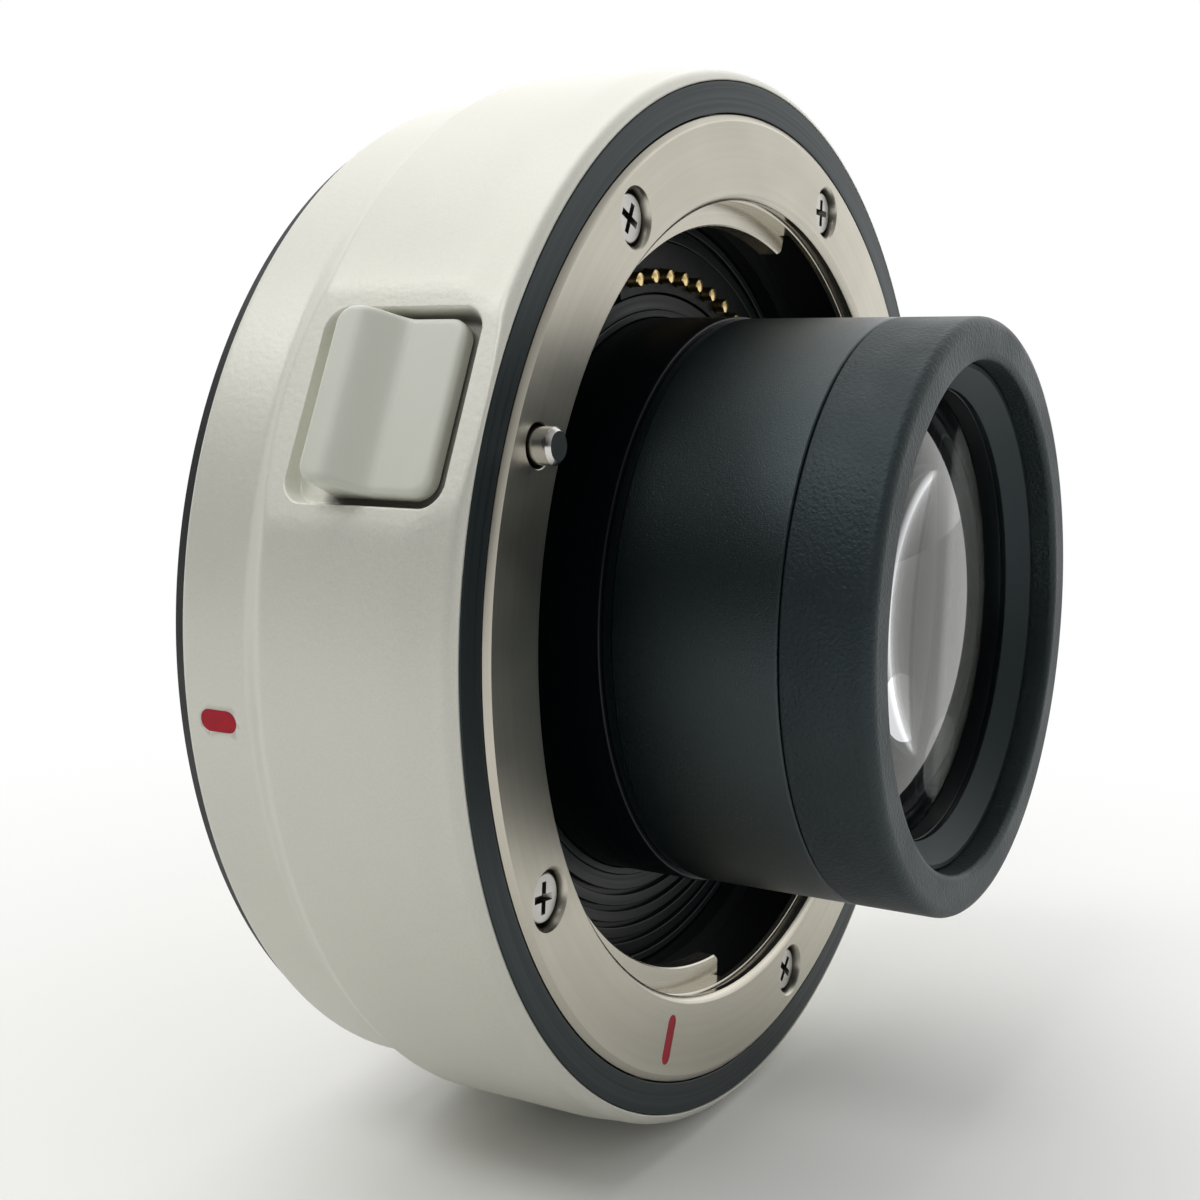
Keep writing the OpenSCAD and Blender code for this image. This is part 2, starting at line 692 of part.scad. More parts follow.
// A lens element: faces above zero bulge and faces below zero are hollow
module element(edge_r, z_lo, thick, front, back) {
    clear_r = edge_r - rim_land;
    rotate_extrude() difference() {
        union() {
            translate([0, z_lo]) square([edge_r, thick]);
            if (front > 0) translate([0, z_lo + thick]) dome(clear_r, front);
            if (back > 0) translate([0, z_lo]) mirror([0, 1]) dome(clear_r, back);
        }
        if (front < 0) translate([0, z_lo + thick]) hollow(clear_r, -front);
        if (back < 0) translate([0, z_lo]) mirror([0, 1]) hollow(clear_r, -back);
    }
}

// Lays a piece on its rim, with the lens side towards -Y
module laid() {
    rotate([90, 0, 0]) children();
}

module casing_section() {
    difference() {
        polygon(concat(
            [[lip_r, casing_rear_z], [band_r - rear_bevel, casing_rear_z]],
            [[band_r, casing_rear_z + rear_bevel]],
            [for (i = [0:curve_n]) let (t = i / curve_n)
                [band_r + step_h * smooth(t), step_z + step_len * t]],
            [for (i = [0:curve_n]) let (a = 90 * i / curve_n)
                [body_r - front_fillet * (1 - cos(a)), bezel_z - front_fillet * (1 - sin(a))]],
            [[lip_r, bezel_z]]));
        translate([lip_r - cut, casing_rear_z - cut])
            square([casing_bore - lip_r + cut, lip_z - casing_rear_z + cut]);
        translate([lip_r - cut, seat_z]) square([rabbet_r - lip_r + cut, bezel_z - seat_z + cut]);
    }
}

module outer_casing() {
    color(white) laid() difference() {
        rotate_extrude() casing_section();
        // flat pad
        on_side(pad_angle, pad_d)
            translate([-body_r, casing_rear_z - cut])
                cube([2 * body_r, front_z + 2 * cut, body_r]);
        // pocket of the lever
        on_side(pad_angle, pocket_floor)
            linear_extrude(height = body_r)
                translate([0, pocket_z]) rounded(pocket_w, pocket_len, pocket_corner);
        // window that the tongue slides in
        on_side(pad_angle, skirt_in_r)
            translate([-tongue_w / 2 - carriage_gap, tongue_z - lock_travel - carriage_gap, 0])
                cube([tongue_w + 2 * carriage_gap, tongue_h + lock_travel + 2 * carriage_gap, body_r]);
        // recess of the rear index mark
        on_side(rear_index_angle, band_r - mark_depth)
            linear_extrude(height = body_r)
                translate([0, rear_mark_z]) rotate([0, 0, 90]) capsule(rear_mark_len, rear_mark_w);
    }
}

module front_bezel_ring() {
    color(slate) laid() ring(bezel_in_r, bezel_r, seat_z, bezel_z);
}

module front_mount_flange() {
    color(steel) laid() difference() {
        rotate_extrude() polygon([[lug_in_r, lug_back_z], [collar_r, lug_back_z], [collar_r, seat_z],
            [flange_r, seat_z], [flange_r, bezel_z], [flange_r - rim_bevel, front_z],
            [throat_r + throat_bevel, front_z], [throat_r, front_z - throat_bevel],
            [throat_r, lug_top_z], [lug_in_r, lug_top_z]]);
        // gaps between the lugs, which also trim the collar there
        for (gap = lug_gaps)
            sector(lug_in_r - cut, collar_r + cut, lug_back_z - cut, collar_z,
                index_angle + (gap[0] + gap[1]) / 2, (gap[1] - gap[0]) / 2);
        at_each(screw_circle_r, [for (a = front_screw_angles) index_angle + a]) {
            rod(screw_r + hole_play, seat_z - cut, front_z + cut);
            translate([0, 0, screw_seat_z]) counterbore();
        }
        at_each(screw_circle_r, [pin_angle]) rod(pin_r + pin_ring_play, seat_z - cut, front_z + cut);
        rotate([0, 0, index_angle])
            translate([index_line_r, 0, front_z - mark_depth])
                linear_extrude(height = cut) capsule(index_line_len, index_line_w);
    }
}

module front_mount_screws() {
    color(steel) laid()
        at_each(screw_circle_r, [for (a = front_screw_angles) index_angle + a])
            translate([0, 0, screw_seat_z]) screw(screw_head_r, screw_head_h, screw_r, screw_len);
}

module front_index_mark() {
    color(red) laid()
        rotate([0, 0, index_angle])
            translate([index_line_r + thread_play, 0, front_z - mark_depth])
                linear_extrude(height = mark_depth - thread_play)
                    capsule(index_line_len - 2 * thread_play, index_line_w - 2 * thread_play);
}

module rear_index_mark() {
    color(red) laid()
        on_side(rear_index_angle, band_r - mark_depth)
            linear_extrude(height = mark_depth - thread_play)
                translate([0, rear_mark_z + thread_play])
                    rotate([0, 0, 90])
                        capsule(rear_mark_len - 2 * thread_play, rear_mark_w - 2 * thread_play);
}

module mount_leaf_springs() {
    pad_half_angle = leaf_half_angle / 4;
    leaf_in_r = baffle_r + 2 * fit_gap;
    leaf_out_r = chassis_in_r - fit_gap;
    color(steel) laid() for (a = lug_angles) difference() {
        sector(leaf_in_r, leaf_out_r, ledge_z, ledge_z + leaf_rise + leaf_t,
            index_angle + a, leaf_half_angle);
        sector(leaf_in_r - cut, leaf_out_r + cut, ledge_z - cut, ledge_z + leaf_rise,
            index_angle + a, leaf_half_angle - 2 * pad_half_angle);
        for (side = [-1, 1])
            sector(leaf_in_r - cut, leaf_out_r + cut, ledge_z + leaf_t, ledge_z + cut,
                index_angle + a + side * leaf_half_angle, pad_half_angle);
    }
}

module body_frame() {
    lobe_at = [for (a = lobe_angles) index_angle + a];
    color(alloy) laid() difference() {
        union() {
            rotate_extrude() polygon([[baffle_r + fit_gap, web_z], [skirt_in_r, web_z],
                [skirt_in_r, rear_flange_t], [chassis_r, rear_flange_t], [chassis_r, lip_z],
                [lip_r - fit_gap, lip_z], [lip_r - fit_gap, seat_z], [chassis_in_r, seat_z],
                [chassis_in_r, ledge_z], [baffle_r + fit_gap, ledge_z]]);
            at_each(rear_screw_circle_r, [for (a = rear_screw_angles) rear_index_angle + a])
                rod(boss_r, rear_flange_t, web_z + web_t / 2);
            // lobes under the mounting plate
            difference() {
                at_each(baffle_r, lobe_at) rod(lobe_r, web_z - lobe_h, web_z + web_t / 2);
                rod(baffle_r + 2 * fit_gap, web_z, front_z);
            }
        }
        at_each(screw_circle_r, [for (a = front_screw_angles) index_angle + a])
            rod(screw_r + thread_play, screw_seat_z - screw_len - fit_gap, seat_z + cut);
        at_each(rear_screw_circle_r, [for (a = rear_screw_angles) rear_index_angle + a])
            rod(screw_r + thread_play, rear_flange_t - cut, screw_len + fit_gap);
        at_each(baffle_r - lobe_r / 2, lobe_at)
            rod(small_screw_r + hole_play, web_z - lobe_h - cut, web_z + cut);
        // guide, slot and spring well of the lock
        at_each(screw_circle_r, [pin_angle]) {
            rod(pin_r + pin_play, carriage_top_z + carriage_gap / 2, seat_z + cut);
            rod(pin_stem_r + pin_play, web_z - cut, carriage_z);
            rod(clip_r + carriage_gap, slot_z, carriage_z + fit_gap);
            rod(clip_r + carriage_gap, rear_flange_t - cut, web_z);
        }
        on_side(pin_angle, slot_in_r)
            translate([-slot_w / 2, slot_z, 0])
                cube([slot_w, carriage_top_z + carriage_gap - slot_z, chassis_r]);
    }
}

module mounting_plate() {
    color(alloy) laid() difference() {
        union() {
            ring(rear_tube_r + fit_gap, baffle_r, web_z, web_top_z);
            at_each(post_circle_r, [for (a = post_angles) index_angle + a])
                rod(post_r, board_z + board_t, web_z + web_t / 2);
        }
        at_each(post_circle_r, [for (a = post_angles) index_angle + a])
            rod(small_screw_r + thread_play, board_z, web_z);
        at_each(tube_screw_circle_r, tube_screw_angles)
            rod(small_screw_r + hole_play, web_z - cut, web_top_z + cut);
        at_each(baffle_r - lobe_r / 2, [for (a = lobe_angles) index_angle + a])
            rod(small_screw_r + thread_play, web_z - cut, web_top_z - fit_gap);
        at_each(contact_circle_r, foot_screw_angles)
            rod(small_screw_r + thread_play, web_z - cut, web_top_z - fit_gap);
        sector(block_in_r - fit_gap, block_out_r + fit_gap, web_z - cut, web_top_z + cut,
            contact_angle, block_half_angle + block_play_angle);
    }
}

module mounting_plate_screws() {
    color(steel) laid()
        at_each(baffle_r - lobe_r / 2, [for (a = lobe_angles) index_angle + a])
            translate([0, 0, web_z - lobe_h]) mirror([0, 0, 1])
                screw(small_head_r, small_head_h, small_screw_r, lobe_h + web_t - 3 * fit_gap);
}

module throat_baffle() {
    color(black) laid() difference() {
        union() {
            ring(tube_r + fit_gap / 2, baffle_r, web_top_z, floor_z);
            ring(tube_r + fit_gap / 2, tube_r + tube_ring_w, web_top_z, floor_z + tube_ring_h);
        }
        for (i = [0:groove_count - 1])
            let (r = groove_r + i * groove_pitch)
                ring(r, r + groove_w, floor_z - groove_depth, floor_z + cut);
        sector(block_in_r - fit_gap, block_out_r + fit_gap, web_top_z - cut, floor_z + cut,
            contact_angle, block_half_angle + block_play_angle);
    }
}

module lens_lock_pin() {
    top_z = front_z + pin_proud;
    color(steel) laid() at_each(screw_circle_r, [pin_angle])
        rotate_extrude() polygon([[0, spring_seat_z - pin_tail], [pin_stem_r, spring_seat_z - pin_tail],
            [pin_stem_r, carriage_top_z], [pin_r, carriage_top_z], [pin_r, top_z - pin_chamfer],
            [pin_r - pin_chamfer, top_z], [0, top_z]]);
}

module lock_carriage() {
    color(alloy) laid() difference() {
        on_side(pin_angle, carriage_in_r)
            translate([-carriage_w / 2, carriage_z, 0])
                cube([carriage_w, carriage_h - thread_play, carriage_out_r - carriage_in_r]);
        at_each(screw_circle_r, [pin_angle])
            rod(pin_stem_r + thread_play, carriage_z - cut, carriage_top_z + cut);
        on_side(pin_angle, carriage_in_r - cut)
            translate([-pin_stem_r - thread_play, carriage_z - cut, 0])
                cube([2 * (pin_stem_r + thread_play), carriage_h + 2 * cut,
                    screw_circle_r - carriage_in_r + cut]);
        on_side(pad_angle, carriage_out_r - tongue_grip - thread_play)
            translate([-tongue_w / 2 - thread_play, tongue_z - thread_play, 0])
                cube([tongue_w + 2 * thread_play, tongue_h + 2 * thread_play, body_r]);
    }
}

module lock_pin_clips() {
    color(steel) laid() at_each(screw_circle_r, [pin_angle])
        for (z = [carriage_z - clip_t - thread_play, spring_seat_z])
            difference() {
                ring(pin_stem_r + thread_play, clip_r, z, z + clip_t);
                translate([-2 * clip_r, -clip_mouth / 2, z - cut])
                    cube([2 * clip_r, clip_mouth, clip_t + 2 * cut]);
            }
}

module lock_pin_spring() {
    color(steel) laid() at_each(screw_circle_r, [pin_angle])
        translate([0, 0, rear_flange_t + thread_play])
            coil(spring_r, spring_wire, spring_turns, spring_seat_z - rear_flange_t - 2 * thread_play);
}

module lens_release_lever() {
    slope_z = lever_front_z - lever_low_len;
    crest_z = lever_z + lever_crest;
    outline = concat([[lever_bottom, lever_z], [lever_bottom, lever_front_z], [lever_top, lever_front_z]],
        [for (i = [0:curve_n]) let (t = i / curve_n)
            [lever_top + lever_ridge * smooth(t), slope_z + (crest_z - slope_z) * t]],
        [[lever_top + lever_ridge, lever_z]]);
    color(white) laid() union() {
        intersection() {
            rotate([0, 0, pad_angle]) translate([0, lever_w / 2, 0]) rotate([90, 0, 0])
                linear_extrude(height = lever_w) polygon(outline);
            on_side(pad_angle, pocket_floor)
                linear_extrude(height = body_r)
                    translate([0, lever_z]) rounded(lever_w, lever_len, pocket_corner - lever_side_gap / 2);
        }
        on_side(pad_angle, carriage_out_r - tongue_grip)
            translate([-tongue_w / 2, tongue_z, 0])
                cube([tongue_w, tongue_h, lever_bottom - carriage_out_r + tongue_grip + lever_lift]);
    }
}

module front_contact_block() {
    color(black) laid() difference() {
        union() {
            sector(block_in_r, block_out_r, block_z, block_top_z, contact_angle, block_half_angle);
            sector(foot_in_r, foot_out_r, block_z, web_z, contact_angle, foot_half_angle);
        }
        at_each(contact_circle_r, contact_angles) {
            rod(contact_r + contact_play, chamber_top_z - cut, block_top_z + cut);
            rod(chamber_r, block_z - cut, chamber_top_z);
        }
        at_each(contact_circle_r, foot_screw_angles)
            rod(small_screw_r + hole_play, block_z - cut, web_z + cut);
    }
}

module contact_pin(i) {
    tip_z = block_top_z + contact_proud;
    stem_z = shoulder_top_z - shoulder_t;
    color(gold) laid() at_each(contact_circle_r, [contact_angles[i - 1]])
        rotate_extrude() polygon([[0, stem_z], [shoulder_r, stem_z], [shoulder_r, shoulder_top_z],
            [contact_r, shoulder_top_z], [contact_r, tip_z - contact_bevel],
            [contact_r - contact_bevel, tip_z], [0, tip_z]]);
}

module contact_springs() {
    color(steel) laid() at_each(contact_circle_r, contact_angles)
        ring(contact_r - contact_play, shoulder_r - contact_play, block_z + thread_play,
            shoulder_top_z - shoulder_t - thread_play);
}

module contact_flex() {
    color(amber) laid() difference() {
        union() {
            sector(foot_in_r, foot_out_r, flex_z, block_z, contact_angle, foot_half_angle);
            sector(foot_in_r, foot_in_r + flex_t, board_z + board_t, block_z,
                contact_angle, contact_pitch_angle);
        }
        at_each(contact_circle_r, foot_screw_angles)
            rod(small_screw_r + hole_play, flex_z - cut, block_z + cut);
    }
}

module contact_block_screws() {
    len = flex_t + block_foot + web_t - 3 * fit_gap;
    color(steel) laid()
        at_each(contact_circle_r, foot_screw_angles)
            translate([0, 0, flex_z]) mirror([0, 0, 1])
                screw(small_head_r, small_head_h, small_screw_r, len);
}

module circuit_board() {
    chip_r = (board_r + rear_tube_r - chip_w) / 2;
    mid = index_angle + board_start_angle + board_span_angle / 2;
    color(green) laid() difference() {
        union() {
            sector(rear_tube_r + board_hole_gap, board_r, board_z, board_z + board_t,
                mid, board_span_angle / 2);
            for (a = chip_angles)
                rotate([0, 0, mid + a])
                    translate([chip_r, -chip_len / 2, board_z - chip_h])
                        cube([chip_w, chip_len, chip_h + board_t / 2]);
        }
        at_each(post_circle_r, [for (a = post_angles) index_angle + a])
            rod(small_screw_r + hole_play, board_z - cut, board_z + board_t + cut);
    }
}

module board_screws() {
    len = web_z - board_z - fit_gap;
    color(steel) laid()
        at_each(post_circle_r, [for (a = post_angles) index_angle + a])
            translate([0, 0, board_z]) mirror([0, 0, 1])
                screw(small_head_r, small_head_h, small_screw_r, len);
}

module rear_mount_flange() {
    color(steel) laid() difference() {
        union() {
            rotate_extrude() polygon([[rear_bore_r, -rear_tube_len], [rear_neck_r, -rear_tube_len],
                [rear_neck_r, spigot_z], [spigot_r, spigot_z], [spigot_r, 0], [rear_flange_r, 0],
                [rear_flange_r, rear_flange_t], [rear_bore_r, rear_flange_t]]);
            for (i = [0:len(rear_lug_angles) - 1])
                sector(rear_bore_r + rear_tube_wall / 2, rear_lug_r, rear_lug_z - lug_t, rear_lug_z,
                    rear_index_angle + rear_lug_angles[i], rear_lug_half_angles[i]);
        }
        at_each(rear_screw_circle_r, [for (a = rear_screw_angles) rear_index_angle + a]) {
            rod(screw_r + hole_play, -cut, rear_flange_t + cut);
            translate([0, 0, counterbore_depth]) mirror([0, 0, 1]) counterbore();
        }
        at_each(screw_circle_r, [pin_angle]) rod(lock_hole_r, -cut, lock_hole_depth);
        at_each(frame_screw_circle_r, tube_screw_angles)
            rod(small_screw_r + thread_play, rear_flange_t / 2, rear_flange_t + cut);
    }
}

module rear_mount_screws() {
    color(steel) laid()
        at_each(rear_screw_circle_r, [for (a = rear_screw_angles) rear_index_angle + a])
            translate([0, 0, counterbore_depth]) mirror([0, 0, 1])
                screw(screw_head_r, screw_head_h, screw_r, screw_len - counterbore_depth);
}

module rear_seal_ring() {
    lip_out_r = seal_out_r - seal_lip_w / 2;
    color(rubber) laid() rotate_extrude() polygon([[seal_in_r, rear_flange_t - thread_play],
        [seal_in_r, -seal_lip / 2], [lip_out_r - seal_lip_w, -seal_lip], [lip_out_r, -seal_lip],
        [seal_out_r, casing_rear_z - thread_play], [casing_bore - fit_gap / 2, casing_rear_z - thread_play],
        [casing_bore - fit_gap / 2, rear_flange_t - thread_play]]);
}

module rear_contact_block() {
    color(black) laid() difference() {
        sector(rear_block_in_r, rear_block_out_r, -rear_tube_len, -frame_t,
            contact_angle, block_half_angle + rear_block_angle);
        at_each(contact_circle_r, contact_angles)
            rod(pad_r + thread_play, -rear_tube_len - cut, -rear_tube_len + pad_t);
        at_each(contact_circle_r, rear_block_screw_angles) {
            rod(small_screw_r + hole_play, -rear_tube_len - cut, 0);
            rod(small_head_r + hole_play, -rear_tube_len - cut, -rear_tube_len + 2 * small_head_h);
        }
    }
}

module rear_contact_pads() {
    color(gold) laid() at_each(contact_circle_r, contact_angles)
        rod(pad_r, -rear_tube_len + thread_play / 2, -rear_tube_len + pad_t);
}

module rear_contact_screws() {
    seat = -rear_tube_len + 2 * small_head_h;
    color(steel) laid()
        at_each(contact_circle_r, rear_block_screw_angles)
            translate([0, 0, seat]) mirror([0, 0, 1])
                screw(small_head_r, small_head_h, small_screw_r, -seat - 2 * fit_gap);
}

module rear_baffle() {
    color(black) laid() difference() {
        union() {
            rod(rear_bore_r - fit_gap, -frame_t, rear_flange_t + frame_lip_t);
            rod(frame_lip_r, rear_flange_t, rear_flange_t + frame_lip_t);
        }
        rod(rear_bore_r - fit_gap - frame_t, 0, rear_flange_t + frame_lip_t + cut);
        translate([0, -window_h / 2, -frame_t - cut])
            linear_extrude(height = frame_t + 2 * cut) rounded(window_w, window_h, frame_t);
        at_each(contact_circle_r, rear_block_screw_angles)
            rod(small_screw_r + thread_play, -frame_t - cut, -fit_gap);
        at_each(frame_screw_circle_r, tube_screw_angles)
            rod(small_screw_r + hole_play, rear_flange_t - cut, rear_flange_t + frame_lip_t + cut);
    }
}

module rear_baffle_screws() {
    color(steel) laid()
        at_each(frame_screw_circle_r, tube_screw_angles)
            translate([0, 0, rear_flange_t + frame_lip_t])
                screw(small_head_r, small_head_h, small_screw_r, frame_lip_t + rear_flange_t / 2 - fit_gap);
}

module lens_tube() {
    color(black) laid() difference() {
        union() {
            rod(rear_tube_r, tube_rear_z, web_top_z + cut);
            rod(tube_r, web_top_z, barrel_z);
            rod(sleeve_r - fit_gap / 2, web_top_z, sleeve_top_z);
        }
        rod(rear_cell_r, tube_rear_z - cut, shelf_z);
        rod(rear_cell_r - rim_land, tube_rear_z - cut, shelf_top_z + cut);
        rod(front_cell_r, shelf_top_z, sleeve_top_z + cut);
        at_each(tube_screw_circle_r, tube_screw_angles)
            rod(small_screw_r + thread_play, web_top_z - cut, web_top_z + 2 * web_t);
    }
}

module lens_tube_screws() {
    color(steel) laid() at_each(tube_screw_circle_r, tube_screw_angles)
        translate([0, 0, web_z]) mirror([0, 0, 1])
            screw(small_head_r, small_head_h, small_screw_r, 3 * web_t - fit_gap);
}

module front_barrel() {
    shelf_z = lens_1_seat_z - lens_1_shelf;
    color(black) laid() difference() {
        union() {
            rod(barrel_r, barrel_z + thread_play, seam_z);
            rod(spigot_out_r, seam_z - cut, spigot_top_z);
        }
        rod(sleeve_r, barrel_z - cut, shelf_z);
        rod(lens_1_r - rim_land, barrel_z - cut, seam_z);
        rod(lens_1_r + fit_gap / 2, lens_1_seat_z, lens_1_z + thread_play);
        rod(spigot_in_r, lens_1_z, spigot_top_z + cut);
    }
}

module barrel_hood() {
    color(black) laid() difference() {
        rotate_extrude() polygon(concat([[0, seam_z + seam], [barrel_r, seam_z + seam]],
            [for (i = [0:curve_n]) let (a = 90 * i / curve_n)
                [barrel_r - hood_round * (1 - cos(a)), rim_z - hood_round * (1 - sin(a))]],
            [[0, rim_z]]));
        rod(hood_in_r, seam_z - cut, rim_z + cut);
        rod(spigot_out_r + fit_gap / 2, seam_z - cut, spigot_top_z + seam);
    }
}

module front_retaining_ring() {
    color(slate) laid() rotate_extrude() polygon([[keep_ring_in_r, lens_1_z + thread_play],
        [keep_ring_r, lens_1_z + thread_play], [keep_ring_r, keep_ring_z],
        [keep_ring_in_r + ring_cone, keep_ring_z], [keep_ring_in_r, keep_ring_z - ring_cone_h]]);
}

module lens_1() {
    color(glass) laid()
        element(lens_1_r, lens_1_seat_z + thread_play, front_edge - thread_play,
            front_bulge, front_back_bulge);
}

module lens_2() {
    color(glass) laid() element(triplet_r, lens_2_z, triplet_edge, -triplet_hollow, -triplet_bulge);
}

module lens_3() {
    color(glass) laid() element(triplet_r, lens_3_z, triplet_middle, triplet_bulge, triplet_bulge);
}

module lens_4() {
    color(glass) laid() element(triplet_r, lens_4_z, triplet_edge, -triplet_bulge, -triplet_hollow);
}

module triplet_retaining_ring() {
    z = triplet_top_z + thread_play;
    color(black) laid() ring(triplet_r - rim_land, triplet_r, z, z + triplet_ring_h);
}

module lens_5() {
    color(glass) laid() element(rear_lens_r, lens_5_z, fifth_edge, fifth_bulge, fifth_bulge);
}

module doublet_spacer() {
    color(black) laid() ring(rear_lens_r - rim_land, rear_lens_r, spacer_z, spacer_z + spacer_len);
}

module lens_6() {
    color(glass) laid() element(rear_lens_r, lens_6_z, doublet_front_edge, doublet_bulge, doublet_bulge);
}

module lens_7() {
    color(glass) laid() element(rear_lens_r, lens_7_z, doublet_rear_edge, -doublet_bulge, -last_hollow);
}

module rear_retaining_ring() {
    color(black) laid() ring(rear_lens_r - rim_land, rear_lens_r, rear_ring_z, rear_ring_z + rear_ring_h);
}

outer_casing();
front_bezel_ring();
front_mount_flange();
front_mount_screws();
front_index_mark();
rear_index_mark();
mount_leaf_springs();
body_frame();
mounting_plate();
mounting_plate_screws();
throat_baffle();
lens_lock_pin();
lock_carriage();
lock_pin_clips();
lock_pin_spring();
lens_release_lever();
front_contact_block();
contact_springs();
contact_flex();
contact_block_screws();
circuit_board();
board_screws();
rear_mount_flange();
rear_mount_screws();
rear_seal_ring();
rear_contact_block();
rear_contact_pads();
rear_contact_screws();
rear_baffle();
rear_baffle_screws();
lens_tube();
lens_tube_screws();
front_barrel();
barrel_hood();
front_retaining_ring();
lens_1();
lens_2();
lens_3();
lens_4();
triplet_retaining_ring();
lens_5();
doublet_spacer();
lens_6();
lens_7();
rear_retaining_ring();
for (i = [1:contact_count]) contact_pin(i);
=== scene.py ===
# Camera teleconverter: a short lens barrel between two bayonet mounts, in a white ring-shaped casing.
# Sizes are in millimetres: r from the optical axis, z along it from the rear mount plane towards the lens,
# and angles in degrees from +X as seen from the lens side. They become metres in the meshes.
import math

import bmesh
import bpy
from mathutils import Matrix, Vector


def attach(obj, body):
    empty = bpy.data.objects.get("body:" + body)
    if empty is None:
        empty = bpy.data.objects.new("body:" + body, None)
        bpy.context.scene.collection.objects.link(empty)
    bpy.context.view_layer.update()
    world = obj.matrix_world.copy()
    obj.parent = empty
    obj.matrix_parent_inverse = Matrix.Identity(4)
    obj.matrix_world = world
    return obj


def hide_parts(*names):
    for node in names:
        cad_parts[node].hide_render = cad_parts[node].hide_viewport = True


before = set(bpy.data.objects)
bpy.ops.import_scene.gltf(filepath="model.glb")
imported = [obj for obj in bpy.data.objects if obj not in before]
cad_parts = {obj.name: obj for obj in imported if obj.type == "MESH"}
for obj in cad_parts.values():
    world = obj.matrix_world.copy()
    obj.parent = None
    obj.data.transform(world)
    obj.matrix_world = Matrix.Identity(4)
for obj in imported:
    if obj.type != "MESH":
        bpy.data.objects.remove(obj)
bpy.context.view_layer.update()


# Chassis: the ring between the mounts, the plate that carries the lens tube, and the lock's carriage.
# Die-cast aluminium, machined where other pieces seat. The casing and the baffle cover them, so they stay
# as the CAD made them.
def new_finish(name, **values):
    finish = bpy.data.materials.new(name)
    finish.use_nodes = True
    skin = finish.node_tree.nodes["Principled BSDF"]
    for socket, value in values.items():
        skin.inputs[socket.replace("_", " ")].default_value = value
    return finish, finish.node_tree, skin


def add(tree, kind, inputs=None, **settings):
    node = tree.nodes.new("ShaderNode" + kind)
    for key, value in settings.items():
        setattr(node, key, value)
    for key, value in (inputs or {}).items():
        if isinstance(value, bpy.types.NodeSocket):
            tree.links.new(value, node.inputs[key])
        else:
            node.inputs[key].default_value = value
    return node


def sum_up(tree, operation, *values):
    return add(tree, "Math", dict(enumerate(values)), operation=operation).outputs[0]


def blend_colours(tree, share, first, second):
    mix = add(tree, "Mix", {"Factor": share, 6: first, 7: second}, data_type="RGBA")
    return mix.outputs[2]


def plug(tree, skin, **sources):
    for socket, source in sources.items():
        tree.links.new(source, skin.inputs[socket.replace("_", " ")])


def new_group(name, takes, gives):
    group = bpy.data.node_groups.new(name, "ShaderNodeTree")
    for label, value in takes.items():
        socket = group.interface.new_socket(label, in_out="INPUT", socket_type="NodeSocketFloat")
        socket.default_value = value
    for label in gives:
        group.interface.new_socket(label, in_out="OUTPUT", socket_type="NodeSocketFloat")
    way_in = group.nodes.new("NodeGroupInput").outputs
    way_out = group.nodes.new("NodeGroupOutput").inputs
    return group, way_in, way_out


def place_group(tree, group, **values):
    node = tree.nodes.new("ShaderNodeGroup")
    node.node_tree = group
    for label, value in values.items():
        node.inputs[label].default_value = value
    return node.outputs


# cloudiness and fine tooth of a surface: soft patches, and small bumps that are size mm wide
surface_tooth, tooth_in, tooth_out = new_group(
    "surface_tooth", {"Patch": 6.0, "Size": 0.2}, ["Cloud", "Tooth"])
tooth_place = add(surface_tooth, "TexCoord").outputs["Object"]
patch_scale = sum_up(surface_tooth, "DIVIDE", 1000.0, tooth_in["Patch"])
tooth_scale = sum_up(surface_tooth, "DIVIDE", 1000.0, tooth_in["Size"])
cloud = add(surface_tooth, "TexNoise", {"Vector": tooth_place, "Scale": patch_scale, "Detail": 3.0})
tooth = add(surface_tooth, "TexNoise", {"Vector": tooth_place, "Scale": tooth_scale, "Detail": 2.0})
surface_tooth.links.new(cloud.outputs[0], tooth_out["Cloud"])
surface_tooth.links.new(tooth.outputs[0], tooth_out["Tooth"])


def ramp(tree, value, start, stop, low=0.0, high=1.0, **settings):
    """Runs from low to high as the value runs from start to stop."""
    limits = {"Value": value, "From Min": start, "From Max": stop, "To Min": low, "To Max": high}
    return add(tree, "MapRange", limits, **settings).outputs[0]


def spread(tree, noise, low, high):
    """Noise stays near the middle of its range, so only that part counts."""
    return ramp(tree, noise, 0.3, 0.7, low, high)


def raise_bumps(tree, skin, height, depth):
    bump = add(tree, "Bump", {"Height": height, "Distance": depth * 0.001, "Strength": 1.0})
    plug(tree, skin, Normal=bump.outputs[0])


def two_tone(tree, noise, dark, light):
    return blend_colours(tree, spread(tree, noise, 0, 1), dark, light)


def drifting_colour(tree, noise, colour, shift):
    dark = [c * (1 - shift) for c in colour] + [1]
    light = [min(1, c * (1 + shift)) for c in colour] + [1]
    return two_tone(tree, noise, dark, light)


def cloudy_finish(name, colour, patch, size, depth, rough, **values):
    """A finish whose colour and gloss drift a little in patches, with a fine tooth."""
    finish, tree, skin = new_finish(name, **values)
    drift = place_group(tree, surface_tooth, Patch=patch, Size=size)
    plug(tree, skin, Base_Color=drifting_colour(tree, drift["Cloud"], colour, 0.12),
         Roughness=spread(tree, drift["Cloud"], rough * 0.9, rough * 1.12))
    raise_bumps(tree, skin, drift["Tooth"], depth)
    return finish


def dress(finish, *names):
    for name in names:
        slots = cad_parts[name].data.materials
        slots.clear()
        slots.append(finish)


cast_alloy = cloudy_finish("cast_alloy", (0.42, 0.43, 0.45), 8, 0.25, 0.03, 0.5, Metallic=1.0)
dress(cast_alloy, "mounting_plate", "lock_carriage")


